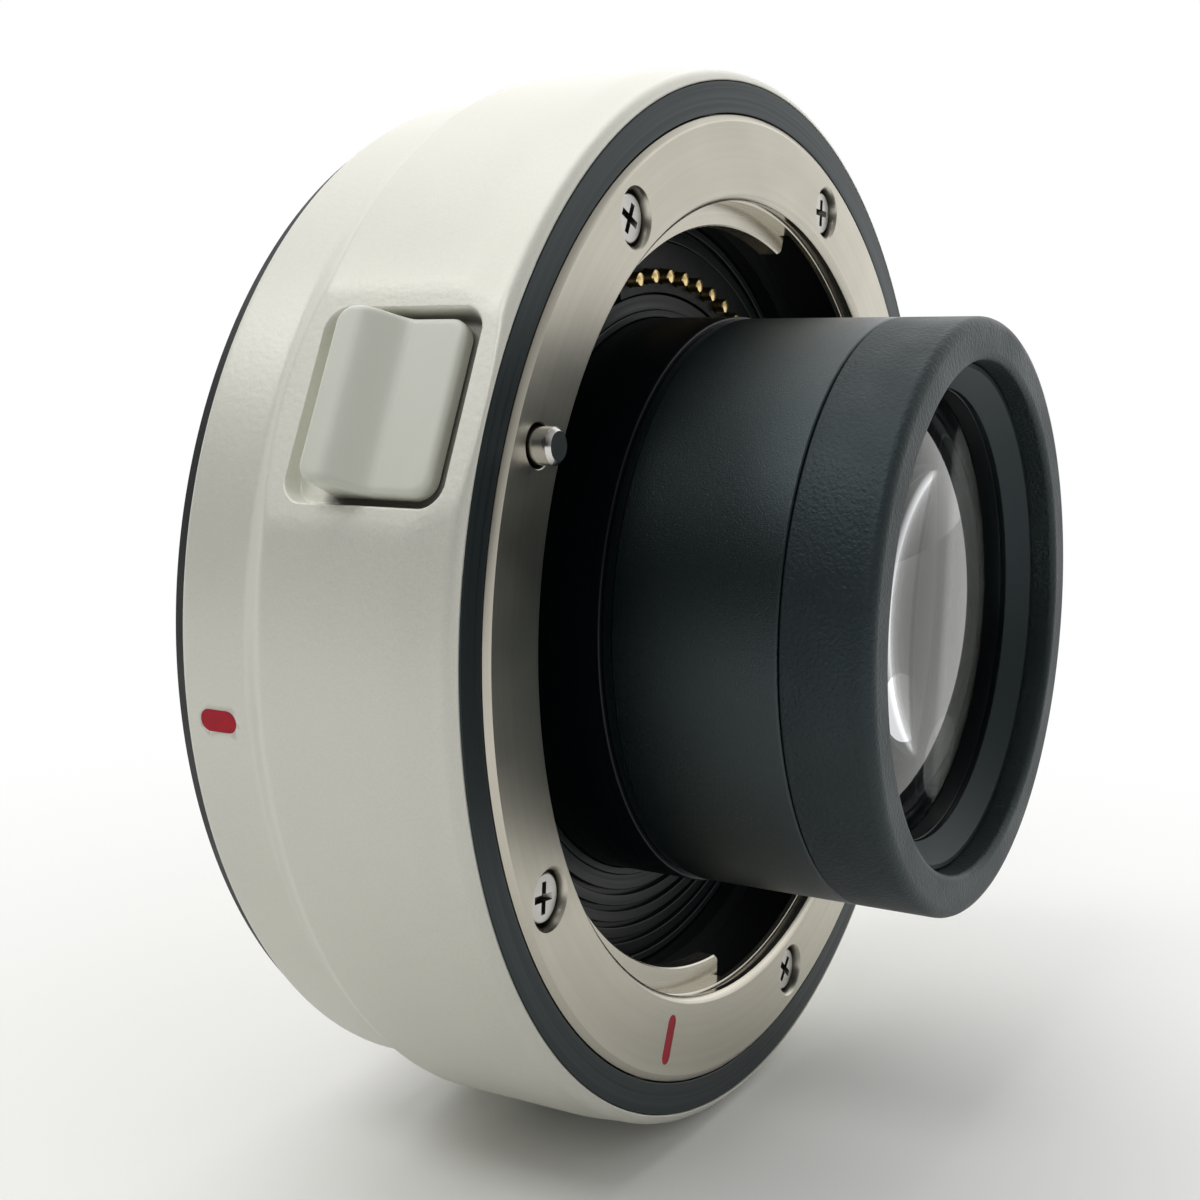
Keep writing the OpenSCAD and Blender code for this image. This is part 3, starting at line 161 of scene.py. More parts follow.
# Springs and clips: leaf springs that pull a lens's lugs down, the lock's coil and its two clips, and the
# small springs under the contact pins. Bright spring steel, stamped or wound, all hidden in the body.
spring_steel = cloudy_finish("spring_steel", (0.58, 0.57, 0.55), 4, 0.1, 0.004, 0.3, Metallic=1.0)
dress(spring_steel, "mount_leaf_springs", "lock_pin_spring", "lock_pin_clips", "contact_springs")


# Lens tube: black anodised aluminium, turned in one piece. Its root shows in the throat, the sleeve carries
# the barrel, and inside it are the seats of the rear elements.
MM = 0.001
tube_r, tube_foot_z, tube_top_z = 19.33, 12.0, 19.47
sleeve_r, sleeve_top_z = 16.9, 26.97
rear_tube_r, rear_tube_z = 13.9, 0.5
rear_cell_r, front_cell_r, cell_land = 12.3, 13.25, 1.0
shoulder_z, shoulder_top_z = 14.4, 15.6


def at(r, angle, z):
    a = math.radians(angle)
    return Vector((r * math.cos(a), -z, r * math.sin(a))) * MM


def softened(corners, bends=4):
    """Outline of (r, z) points from (r, z, rounding) corners of a closed loop."""
    outline = []
    for i, (r, z, rounding) in enumerate(corners):
        here = Vector((r, z))
        back = Vector(corners[i - 1][:2]) - here
        ahead = Vector(corners[(i + 1) % len(corners)][:2]) - here
        if not rounding:
            outline.append((r, z))
            continue
        half = back.angle(ahead) / 2
        reach = min(rounding / math.tan(half), 0.48 * back.length, 0.48 * ahead.length)
        rounding = reach * math.tan(half)
        middle = here + (back.normalized() + ahead.normalized()).normalized() * rounding / math.sin(half)
        start = here + back.normalized() * reach - middle
        end = here + ahead.normalized() * reach - middle
        turn = start.angle_signed(end)
        for k in range(bends + 1):
            outline.append(tuple(middle + Matrix.Rotation(-turn * k / bends, 2) @ start))
    return outline


def set_down(name, data):
    piece = bpy.data.objects.new(name, data)
    bpy.context.scene.collection.objects.link(piece)
    return piece


def shape_piece(name, points, faces, finish, crease=34):
    mesh = bpy.data.meshes.new(name)
    mesh.from_pydata([tuple(p) for p in points], [], faces)
    shape = bmesh.new()
    shape.from_mesh(mesh)
    bmesh.ops.remove_doubles(shape, verts=shape.verts, dist=1e-8)
    bmesh.ops.recalc_face_normals(shape, faces=shape.faces)
    shape.to_mesh(mesh)
    shape.free()
    mesh.materials.append(finish)
    piece = set_down(name, mesh)
    even_shading(piece, crease)
    return piece


def even_shading(piece, crease=34):
    """Rounded edges shade softly and flat faces stay flat."""
    piece.data.shade_smooth()
    piece.data.set_sharp_from_angle(angle=math.radians(crease))
    for face in piece.data.polygons:
        face.use_smooth = abs(face.normal.y) < 0.99999
    if "even_flats" not in piece.modifiers:
        even = piece.modifiers.new("even_flats", "WEIGHTED_NORMAL")
        even.keep_sharp = True


def turned(name, outline, finish, closed=True, steps=288, centre=None, crease=34):
    """A piece turned on the optical axis, or on a parallel axis through centre = (r, angle)."""
    shift = at(*centre, 0) if centre else Vector()
    points, rings, faces = [], [], []
    for r, z in outline:
        count = steps if r > 1e-5 else 1
        rings.append(range(len(points), len(points) + count))
        points += [at(r, 360 * k / steps, z) + shift for k in range(count)]
    pairs = list(zip(rings, rings[1:]))
    if closed:
        pairs.append((rings[-1], rings[0]))
    for low, high in pairs:
        if len(low) == len(high) == 1:
            continue
        for k in range(steps):
            after = (k + 1) % steps
            corners = [low[k % len(low)], low[after % len(low)],
                       high[after % len(high)], high[k % len(high)]]
            faces.append(list(dict.fromkeys(corners)))
    return shape_piece(name, points, faces, finish, crease)


def fit(piece, body, slot, *nodes):
    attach(piece, body)
    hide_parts(*nodes)


# place on a turned piece: distance from the axis and height along it in mm, and streaks left by the tool
turning_marks, turning_in, turning_out = new_group(
    "turning_marks", {"Lines": 12.0, "Run": 1.0}, ["Radius", "Height", "Lines", "Wide"])
turning_spot = add(turning_marks, "TexCoord").outputs["Object"]
turning_place = add(turning_marks, "SeparateXYZ", {0: turning_spot}).outputs
across = sum_up(turning_marks, "SQRT", sum_up(
    turning_marks, "ADD", sum_up(turning_marks, "MULTIPLY", turning_place[0], turning_place[0]),
    sum_up(turning_marks, "MULTIPLY", turning_place[2], turning_place[2])))
radius_mm = sum_up(turning_marks, "MULTIPLY", across, 1000.0)
height_mm = sum_up(turning_marks, "MULTIPLY", turning_place[1], -1000.0)


def streak_noise(tree, per_mm, run):
    """Noise drawn out round the axis: fine across the tool's path and long along it."""
    side_x = sum_up(tree, "MULTIPLY", sum_up(tree, "DIVIDE", turning_place[0], across), run)
    side_z = sum_up(tree, "MULTIPLY", sum_up(tree, "DIVIDE", turning_place[2], across), run)
    path = sum_up(tree, "MULTIPLY", sum_up(tree, "ADD", radius_mm, height_mm), per_mm)
    spot = add(tree, "CombineXYZ", {0: path, 1: side_x, 2: side_z}).outputs[0]
    return add(tree, "TexNoise", {"Vector": spot, "Scale": 1.0, "Detail": 2.0}).outputs[0]


wide_lines = sum_up(turning_marks, "MULTIPLY", turning_in["Lines"], 0.12)
for label, value in (("Radius", radius_mm), ("Height", height_mm),
                     ("Lines", streak_noise(turning_marks, turning_in["Lines"], turning_in["Run"])),
                     ("Wide", streak_noise(turning_marks, wide_lines, turning_in["Run"]))):
    turning_marks.links.new(value, turning_out[label])


def turned_finish(name, colour, rough, lines, depth, **values):
    """A finish with the fine rings that a lathe leaves."""
    finish, tree, skin = new_finish(name, **values)
    marks = place_group(tree, turning_marks, Lines=lines)
    plug(tree, skin, Base_Color=drifting_colour(tree, marks["Wide"], colour, 0.1),
         Roughness=spread(tree, marks["Lines"], rough * 0.85, rough * 1.2))
    raise_bumps(tree, skin, marks["Lines"], depth)
    return finish


throat_black = turned_finish("throat_black", (0.0022, 0.0042, 0.0062), 0.4, 5, 0.012,
                             Specular_IOR_Level=0.3)
lens_tube = turned("lens_tube_turned", softened([
    (rear_tube_r, rear_tube_z, 0.15), (rear_tube_r, tube_foot_z, 0), (tube_r, tube_foot_z, 0.05),
    (tube_r, tube_top_z, 0.12), (sleeve_r, tube_top_z, 0), (sleeve_r, sleeve_top_z, 0.1),
    (front_cell_r, sleeve_top_z, 0.15), (front_cell_r, shoulder_top_z, 0),
    (rear_cell_r - cell_land, shoulder_top_z, 0.1), (rear_cell_r - cell_land, shoulder_z, 0.1),
    (rear_cell_r, shoulder_z, 0), (rear_cell_r, rear_tube_z, 0.15)]), throat_black)
fit(lens_tube, "converter_body", "throat_black", "lens_tube")


# Rear elements, the cemented triplet and their rings: ground and polished glass held by black threaded rings
# in the tube. They show through the front element and through the rear window.
rear_lens_r, triplet_r, lens_land, lens_chamfer, glass_rings = 12.25, 13.2, 1.0, 0.06, 28


def arc_face(edge_r, z, bulge, outward):
    """(r, z) points of a spherical face from the axis to its rim; bulge below zero is hollow."""
    clear_r = edge_r - lens_land
    big = (clear_r ** 2 + bulge ** 2) / (2 * abs(bulge))
    face = []
    for k in range(glass_rings + 1):
        r = clear_r * k / glass_rings
        rise = math.sqrt(big ** 2 - r ** 2) - (big - abs(bulge))
        face.append((r, z + outward * math.copysign(rise, bulge)))
    return face


def ground_glass(name, edge_r, z_low, z_high, front, back, finish):
    outline = arc_face(edge_r, z_high, front, 1)
    outline += [(edge_r - lens_chamfer, z_high), (edge_r, z_high - lens_chamfer)]
    outline += [(edge_r, z_low + lens_chamfer), (edge_r - lens_chamfer, z_low)]
    outline += arc_face(edge_r, z_low, back, -1)[::-1]
    return turned(name, outline, finish, closed=False, steps=192, crease=20)


def glass_finish(name, ior, tint, **values):
    finish, tree, skin = new_finish(name, Roughness=0.0, IOR=ior, Transmission_Weight=1.0, **values)
    marks = place_group(tree, surface_tooth, Patch=9, Size=3)
    pale = [min(1, c + 0.01) for c in tint] + [1]
    plug(tree, skin, Base_Color=two_tone(tree, marks["Cloud"], tint + [1], pale))
    return finish


inner_glass = glass_finish("inner_glass", 1.5, [0.98, 0.985, 0.98])
ring_black = turned_finish("ring_black", (0.004, 0.005, 0.006), 0.4, 4, 0.012,
                           Specular_IOR_Level=0.3)
for name, edge_r, low, high, front, back in (
        ("lens_2", triplet_r, 20.56, 23.01, -0.95, -0.7),
        ("lens_3", triplet_r, 18.09, 20.54, 0.7, 0.7),
        ("lens_4", triplet_r, 15.62, 18.07, -0.7, -0.95),
        ("lens_5", rear_lens_r, 12.18, 14.38, 0.8, 0.8),
        ("lens_6", rear_lens_r, 6.34, 9.34, 0.8, 0.8),
        ("lens_7", rear_lens_r, 3.12, 6.32, -0.8, -0.8)):
    glass = ground_glass(name + "_ground", edge_r, low, high, front, back, inner_glass)
    fit(glass, "converter_body", "optical_glass", name)
for name, ring_r, low, high in (("triplet_retaining_ring", triplet_r, 23.03, 25.03),
                                ("doublet_spacer", rear_lens_r, 9.36, 12.16),
                                ("rear_retaining_ring", rear_lens_r, 1.5, 3.1)):
    ring = turned(name + "_turned", softened([
        (ring_r, low, 0.05), (ring_r, high, 0.1),
        (ring_r - lens_land, high, 0.15), (ring_r - lens_land, low, 0.1)]), ring_black)
    fit(ring, "converter_body", "barrel_black", name)


# Throat baffle: a black moulded disc with five light-stopping grooves and a raised collar round the tube.
# It lies on the mounting plate and is cut out for the contact block. The chassis wall round it is painted
# black.
baffle_r, baffle_z, floor_z, tube_gap = 26.4, 12.0, 12.95, 0.05
collar_r, collar_z = 19.9, 13.15
groove_r, groove_pitch, groove_w, groove_depth = 20.97, 1.13, 0.36, 0.45
contact_angle, block_half, notch_gap = 69.3, 35.55, 0.4
notch_in_r, notch_out_r, notch_low_z, notch_high_z = 21.0, 24.7, 11.5, 14.0
baffle_black = turned_finish("baffle_black", (0.0045, 0.0085, 0.0098), 0.42, 3, 0.008,
                             Specular_IOR_Level=0.4)
wall_paint, wall_tree, wall_skin = new_finish("wall_paint", Specular_IOR_Level=0.4)
wall_marks = place_group(wall_tree, turning_marks, Lines=4)
paint_end_r = 28.2
bare_metal = ramp(wall_tree, wall_marks["Radius"], paint_end_r, paint_end_r + 0.1)
plug(wall_tree, wall_skin, Metallic=bare_metal,
     Base_Color=blend_colours(wall_tree, bare_metal, (0.003, 0.0048, 0.006, 1), (0.42, 0.43, 0.45, 1)),
     Roughness=spread(wall_tree, wall_marks["Lines"], 0.34, 0.46))
dress(wall_paint, "body_frame")


def cut_away(piece, cutter, operation="DIFFERENCE", crease=34):
    cut = piece.modifiers.new("cut", "BOOLEAN")
    cut.object, cut.operation, cut.solver = cutter, operation, "EXACT"
    even = piece.modifiers.get("even_flats")
    if even:
        piece.modifiers.remove(even)
    bpy.context.view_layer.update()
    whole = bpy.data.meshes.new_from_object(piece.evaluated_get(bpy.context.evaluated_depsgraph_get()))
    piece.modifiers.clear()
    piece.data = whole
    whole.name = piece.name
    bpy.data.objects.remove(cutter)
    even_shading(piece, crease)


def walls(sections, count, closed=False):
    """Faces between neighbouring sections of count points each; closed runs on from the last to the first."""
    faces = []
    for i in range(sections if closed else sections - 1):
        here, there = i * count, (i + 1) % sections * count
        for k in range(count):
            after = (k + 1) % count
            faces.append([here + k, there + k, there + after, here + after])
    return faces


def sector_block(r_in, r_out, z_low, z_high, middle, half, finish):
    steps, points = 48, []
    for k in range(steps + 1):
        a = middle - half + 2 * half * k / steps
        points += [at(r, a, z) for r, z in ((r_in, z_low), (r_out, z_low), (r_out, z_high), (r_in, z_high))]
    ends = [[0, 1, 2, 3], [4 * steps + c for c in range(4)]]
    return shape_piece("sector_block", points, walls(steps + 1, 4) + ends, finish)


baffle_corners = [(tube_r + tube_gap, baffle_z, 0), (tube_r + tube_gap, collar_z, 0.06),
                  (collar_r, collar_z, 0.08), (collar_r, floor_z, 0.04)]
for k in range(5):
    r, groove_z = groove_r + k * groove_pitch, floor_z - groove_depth
    baffle_corners += [(r, floor_z, 0.07), (r, groove_z, 0), (r + groove_w, groove_z, 0),
                       (r + groove_w, floor_z, 0.07)]
baffle_corners += [(baffle_r, floor_z, 0.08), (baffle_r, baffle_z, 0)]
baffle = turned("throat_baffle_moulded", softened(baffle_corners, 3), baffle_black)
cut_away(baffle, sector_block(notch_in_r, notch_out_r, notch_low_z, notch_high_z, contact_angle,
                              block_half + notch_gap, baffle_black))
fit(baffle, "converter_body", "throat_black", "throat_baffle")


# Contacts: twelve gold-plated pins in a black moulded block, each on its own spring and pushed back by the
# lens. Behind them are the flexible circuit, the screws and the circuit board, hidden in the body.
contact_r, contact_circle_r, contact_pitch = 0.52, 22.2, 5.7
contact_tip_z, shoulder_r, pin_shoulder_z, pin_foot_z = 13.9, 0.7, 12.15, 11.7
contact_plastic = cloudy_finish("contact_plastic", (0.004, 0.006, 0.007), 5, 0.12, 0.008, 0.45,
                                Specular_IOR_Level=0.3)
dress(contact_plastic, "front_contact_block", "rear_contact_block")
contact_gold = cloudy_finish("contact_gold", (0.92, 0.69, 0.32), 2, 0.06, 0.002, 0.24, Metallic=1.0)
dress(contact_gold, "rear_contact_pads")
flex_film = cloudy_finish("flex_film", (0.5, 0.26, 0.05), 4, 0.1, 0.004, 0.35)
dress(flex_film, "contact_flex")
board_green = cloudy_finish("board_green", (0.03, 0.16, 0.07), 5, 0.15, 0.01, 0.4)
dress(board_green, "circuit_board")
screw_steel = cloudy_finish("screw_steel", (0.56, 0.55, 0.52), 2.5, 0.07, 0.006, 0.3, Metallic=1.0)
dress(screw_steel, "contact_block_screws", "board_screws", "lens_tube_screws", "mounting_plate_screws",
      "rear_baffle_screws")
tip_round, tip_crown, foot_edge = 0.14, 0.05, 0.05
tip = [(contact_r - tip_round * (1 - math.cos(math.radians(18 * k))),
        contact_tip_z - tip_crown - tip_round * (1 - math.sin(math.radians(18 * k)))) for k in range(6)]
tip += [((contact_r - tip_round) * (1 - k / 4), contact_tip_z - tip_crown * (1 - k / 4) ** 2)
        for k in range(1, 5)]
pin_outline = [(0, pin_foot_z), (shoulder_r - foot_edge, pin_foot_z), (shoulder_r, pin_foot_z + foot_edge),
               (shoulder_r, pin_shoulder_z - foot_edge), (shoulder_r - foot_edge, pin_shoulder_z),
               (contact_r, pin_shoulder_z)]
pin_mesh = None
for k in range(12):
    name = "contact_pin_%02d" % (k + 1)
    if pin_mesh is None:
        pin = turned(name + "_plated", pin_outline + tip, contact_gold, closed=False, steps=40)
        pin_mesh = pin.data
    else:
        pin = set_down(name + "_plated", pin_mesh)
    pin.location = at(contact_circle_r, contact_angle + contact_pitch * (k - 5.5), 0)
    fit(pin, "contact_%02d" % (k + 1), "contact_gold", name)


# Casing: a cast shell, turned outside and painted warm white with a fine pearl fleck. A soft step parts the
# rear band from the main band, which tapers a little to the front. A flat pad holds the lever's pocket, with
# painted shade darkening its gaps and a window for the lever's tongue.
casing_r, band_r, step_z, step_len = 35.6, 34.4, 5.0, 2.5
casing_rear_z, casing_front_z, casing_fillet, rear_round = 0.4, 20.05, 1.15, 0.3
rabbet_r, rabbet_z, lip_r, lip_z, casing_bore = 34.65, 18.92, 32.3, 17.75, 33.1
pad_angle, pad_d, taper_z, taper, taper_len, taper_soft = 156.2, 34.87, 16.6, 0.11, 2.3, 0.02
pocket_w, pocket_z, pocket_top_z, pocket_corner, pocket_floor = 11.4, 7.95, 18.45, 1.4, 33.77
casing_white = (0.79, 0.785, 0.705)


def step_between(t):
    t = max(0.0, min(1.0, t))
    return t * t * (3 - 2 * t)


def soft_least(a, b, soft=0.14):
    share = max(0.0, min(1.0, 0.5 + 0.5 * (b - a) / soft))
    return b + (a - b) * share - soft * share * (1 - share)


def span(start, stop, step):
    count = max(1, round((stop - start) / step))
    return [start + (stop - start) * k / count for k in range(count)]


def inside_rounded(u, v, half_w, half_h, corner):
    """Distance to the edge of a rounded rectangle, below zero inside."""
    x, y = abs(u) - half_w + corner, abs(v) - half_h + corner
    return math.hypot(max(x, 0), max(y, 0)) + min(max(x, y), 0) - corner


def casing_outline(angle):
    tilt = (angle - pad_angle + 180) % 360 - 180
    near = abs(tilt) < 60
    flat_r = pad_d / math.cos(math.radians(tilt)) if near else 99
    along = pad_d * math.tan(math.radians(tilt)) if near else 99
    full_r = soft_least(casing_r - taper_len * taper, flat_r)
    fillet = min(casing_fillet, (full_r - rabbet_r) / 0.83)
    outline = []
    for z in casing_rows:
        r = band_r + (casing_r - band_r) * step_between((z - step_z) / step_len)
        past = z - taper_z
        r = soft_least(r - taper / 2 * (past + math.sqrt(past ** 2 + taper_soft)), flat_r)
        if abs(along) < 6.6:
            edge = inside_rounded(along, z - (pocket_z + pocket_top_z) / 2, pocket_w / 2,
                                  (pocket_top_z - pocket_z) / 2, pocket_corner)
            sunk = step_between(0.5 - edge / 0.26)
            r += (pocket_floor / math.cos(math.radians(tilt)) - r) * sunk
        outline.append((r, min(z, casing_front_z - fillet - 0.001 * (casing_rows[-1] - z))))
    for k in range(12):
        a = math.radians(80.2 * k / 11)
        outline.append((full_r - fillet * (1 - math.cos(a)), casing_front_z - fillet * (1 - math.sin(a))))
    outline += [(rabbet_r, rabbet_z), (lip_r, rabbet_z), (lip_r, lip_z), (casing_bore, lip_z),
                (casing_bore, casing_rear_z), (band_r - rear_round, casing_rear_z)]
    for k in range(1, 5):
        a = math.radians(90 * k / 5)
        outline.append((band_r - rear_round * (1 - math.sin(a)),
                        casing_rear_z + rear_round * (1 - math.cos(a))))
    return outline


def ringed(name, angles, outline_at, finish, crease=34):
    """A ring whose closed outline changes from angle to angle."""
    points = [at(r, angle, z) for angle in angles for r, z in outline_at(angle)]
    faces = walls(len(angles), len(points) // len(angles), closed=True)
    return shape_piece(name, points, faces, finish, crease)


def merged_angles(*groups):
    angles = sorted(a % 360 for group in groups for a in group)
    return [a for a, after in zip(angles, angles[1:] + [angles[0] + 360]) if after - a > 0.008]


casing_rows = ([0.7, 0.95, 1.4, 2.2, 3.2, 4.2, 4.7] + span(step_z, step_z + step_len, 0.125)
               + span(7.5, 7.7, 0.1) + span(7.7, 9.6, 0.06) + span(9.6, 16.8, 0.45)
               + span(16.8, 18.7, 0.06) + [18.7, 18.8])
pad_spots = span(-9, -6.0, 0.13) + span(-6.0, -4.1, 0.06) + span(-4.1, 0, 0.4)
pad_spots += [0] + [-u for u in pad_spots]
pad_columns = [pad_angle + math.degrees(math.atan(u / pad_d)) for u in pad_spots]
plain_columns = [a for a in span(0, 360, 1.25) if abs((a - pad_angle + 180) % 360 - 180) > 14.6]
casing_paint, casing_tree, casing_skin = new_finish("casing_paint", Metallic=0.22, Specular_IOR_Level=0.5)
casing_drift = place_group(casing_tree, surface_tooth, Patch=14, Size=0.13)
fleck = place_group(casing_tree, surface_tooth, Patch=0.42, Size=0.07)
shade = drifting_colour(casing_tree, casing_drift["Cloud"], casing_white, 0.03)
fleck_share = spread(casing_tree, casing_drift["Tooth"], 0, 0.5)
shade = blend_colours(casing_tree, fleck_share, shade, [c * 1.12 for c in casing_white] + [1])
casing_place = add(casing_tree, "TexCoord").outputs["Object"]


def facing(tree, place, way):
    """How far the place lies along the way."""
    return add(tree, "VectorMath", {0: place, 1: way}, operation="DOT_PRODUCT").outputs["Value"]


pad_turn = math.radians(pad_angle)
pad_out = facing(casing_tree, casing_place, (math.cos(pad_turn), 0, math.sin(pad_turn)))
pad_side = facing(casing_tree, casing_place, (-math.sin(pad_turn), 0, math.cos(pad_turn)))
casing_height = facing(casing_tree, casing_place, (0, -1, 0))
# painted shade: the pocket's gaps, sunk below the pad inside its outline, are coloured dark
painted_gap_shade = 1.0
for value, clean, dirty in ((pad_out, 34.72, 34.1), (sum_up(casing_tree, "ABSOLUTE", pad_side), 5.85, 5.8),
                            (casing_height, 9.9, 10.7), (casing_height, 18.6, 18.55)):
    share = ramp(casing_tree, value, clean * MM, dirty * MM)
    painted_gap_shade = sum_up(casing_tree, "MULTIPLY", share, painted_gap_shade)
shade = blend_colours(casing_tree, painted_gap_shade, shade, (0.27, 0.265, 0.235, 1))
plug(casing_tree, casing_skin, Base_Color=shade,
     Roughness=spread(casing_tree, casing_drift["Tooth"], 0.34, 0.5))
raise_bumps(casing_tree, casing_skin, fleck["Cloud"], 0.016)
casing = ringed("casing_shell", merged_angles(pad_columns, plain_columns), casing_outline, casing_paint)


def on_pad(u, v, d, angle=pad_angle):
    """u round the rim, v along the axis and d out from it, on the side at angle."""
    a = math.radians(angle)
    return Vector((d * math.cos(a) - u * math.sin(a), -v, d * math.sin(a) + u * math.cos(a))) * MM


def prism(name, outline, low, high, place, finish):
    """A straight prism over an outline of (u, v) points; place(u, v, d) puts its corners."""
    n = len(outline)
    points = [place(u, v, d) for d in (low, high) for u, v in outline]
    faces = [list(range(n)), list(range(n, 2 * n))] + walls(2, n)
    return shape_piece(name, points, faces, finish)


def box_outline(half_w, low, high):
    return [(-half_w, low), (half_w, low), (half_w, high), (-half_w, high)]


def capsule(v_low, length, width, bends=10):
    """Outline of a slot with round ends that runs along v."""
    r = width / 2
    ends = [(v_low + length - r, 0), (v_low + r, 180)]
    return [(r * math.cos(math.radians(start + 180 * k / bends)),
             v + r * math.sin(math.radians(start + 180 * k / bends)))
            for v, start in ends for k in range(bends + 1)]


tongue_w, tongue_z, tongue_h, slide_travel, slide_gap = 3.0, 14.55, 1.0, 1.5, 0.3
window_in_d, window_out_d, clear_of_casing = 32.0, 34.3, 36
window = box_outline(tongue_w / 2 + slide_gap, tongue_z - slide_travel - slide_gap,
                     tongue_z + tongue_h + slide_gap)
cut_away(casing, prism("window", window, window_in_d, window_out_d, on_pad, casing_paint))
rear_mark_angle, rear_mark_z, rear_mark_len, rear_mark_w, mark_depth = 186.8, 1.55, 2.7, 1.35, 0.25
cut_away(casing, prism("mark_recess", capsule(rear_mark_z, rear_mark_len, rear_mark_w),
                       band_r - mark_depth, clear_of_casing,
                       lambda u, v, d: on_pad(u, v, d, rear_mark_angle), casing_paint))
fit(casing, "converter_body", "casing_paint", "outer_casing")


# Index marks: a short bar on the casing's rear band and a line on the front mount. Both are engraved and
# filled with red paint, a hair below the surface.
mark_red = cloudy_finish("mark_red", (0.5, 0.004, 0.022), 0.9, 0.12, 0.012, 0.4, Specular_IOR_Level=0.25)
dress(mark_red, "rear_index_mark", "front_index_mark")


# Release lever: a moulded slider, painted satin white, that sinks into the pad's pocket. Its ridge is at the
# camera side and falls in a soft curve to the low end; a tongue under it takes the lock pin back.
lever_low_z, lever_high_z, lever_half_w, lever_corner, lever_round = 10.15, 17.55, 5.15, 1.1, 0.42
lever_low_d, lever_crest_d, lever_bottom_d = 34.97, 36.87, 33.97
slope_start_z, slope_end_z = 14.05, 11.55
carriage_out_r, tongue_grip, tongue_root = 32.6, 1.0, 0.3
lever_paint, lever_tree, lever_skin = new_finish("lever_paint", Specular_IOR_Level=0.5)
lever_drift = place_group(lever_tree, surface_tooth, Patch=7, Size=0.1)
plug(lever_tree, lever_skin,
     Base_Color=two_tone(lever_tree, lever_drift["Cloud"], (0.745, 0.755, 0.665, 1), (0.785, 0.795, 0.71, 1)),
     Roughness=spread(lever_tree, lever_drift["Cloud"], 0.31, 0.4))
raise_bumps(lever_tree, lever_skin, lever_drift["Tooth"], 0.004)
edge_steps, side_margin = [0, 0.012, 0.045, 0.1, 0.17, 0.26, 0.36, 0.46], 0.7
inner = round((2 * (lever_half_w - lever_corner) - 2 * side_margin) / 0.45) + 1
lever_rows = [lever_low_z + s for s in edge_steps] + span(lever_low_z + 0.6, lever_high_z - 0.6, 0.16)
lever_rows += [lever_high_z - s for s in reversed(edge_steps)]
lever_grid = []
for v in lever_rows:
    end = min(v - lever_low_z, lever_high_z - v)
    inset = lever_corner - math.sqrt(max(0, lever_corner ** 2 - max(0, lever_corner - end) ** 2))
    half = lever_half_w - inset
    crest = step_between((slope_start_z - v) / (slope_start_z - slope_end_z))
    top = lever_low_d + (lever_crest_d - lever_low_d) * crest
    spots = [-half + s for s in edge_steps]
    spots += [-half + side_margin + 2 * (half - side_margin) * k / (inner - 1) for k in range(inner)]
    spots += [half - s for s in reversed(edge_steps)]
    row = []
    for u in spots:
        edge = -inside_rounded(u, v - (lever_low_z + lever_high_z) / 2, lever_half_w,
                               (lever_high_z - lever_low_z) / 2, lever_corner)
        drop = lever_round - math.sqrt(max(0, lever_round ** 2 - max(0, lever_round - max(edge, 0)) ** 2))
        row.append((u, v, top - drop))
    lever_grid.append(row)
columns = len(lever_grid[0])
lever_points = [on_pad(*p) for row in lever_grid for p in row]
lever_faces = [[i * columns + k, i * columns + k + 1, (i + 1) * columns + k + 1, (i + 1) * columns + k]
               for i in range(len(lever_grid) - 1) for k in range(columns - 1)]
rim = [(0, k) for k in range(columns)] + [(i, columns - 1) for i in range(1, len(lever_grid))]
rim += [(len(lever_grid) - 1, k) for k in range(columns - 2, -1, -1)]
rim += [(i, 0) for i in range(len(lever_grid) - 2, 0, -1)]
foot = len(lever_points)
for shrink, d in ((0, lever_bottom_d + 0.1), (0.02, lever_bottom_d)):
    lever_points += [on_pad(lever_grid[i][k][0] * (1 - shrink), lever_grid[i][k][1], d) for i, k in rim]
n = len(rim)
for k, (i, c) in enumerate(rim):
    i2, c2 = rim[(k + 1) % n]
    lever_faces.append([i * columns + c, i2 * columns + c2, foot + (k + 1) % n, foot + k])
    lever_faces.append([foot + k, foot + (k + 1) % n, foot + n + (k + 1) % n, foot + n + k])
lever_faces.append([foot + n + k for k in range(n)])
lever = shape_piece("lever_moulded", lever_points, lever_faces, lever_paint, crease=40)
tongue = box_outline(tongue_w / 2, tongue_z, tongue_z + tongue_h)
cut_away(lever, prism("tongue", tongue, carriage_out_r - tongue_grip, lever_bottom_d + tongue_root, on_pad,
                      lever_paint), "UNION", crease=40)
fit(lever, "release_slide", "lever_paint", "lens_release_lever")


# Bezel: a thin ring of black anodised aluminium in the casing's front recess, round the mount.
# Turned, with broken edges, and pressed in.
bezel_in_r, bezel_out_r, bezel_low_z, bezel_high_z = 32.58, 34.6, 18.9, 20.05
cool = (0.8, 0.97, 1, 1)
bezel_black = turned_finish("bezel_black", (0.005, 0.0088, 0.0106), 0.42, 5, 0.004,
                            Specular_IOR_Level=0.4, Specular_Tint=cool)
bezel = turned("bezel_turned", softened([
    (bezel_in_r, bezel_low_z, 0), (bezel_out_r, bezel_low_z, 0), (bezel_out_r, bezel_high_z, 0.1),
    (bezel_in_r, bezel_high_z, 0.08)]), bezel_black)
fit(bezel, "converter_body", "dark_bezel", "front_bezel_ring")


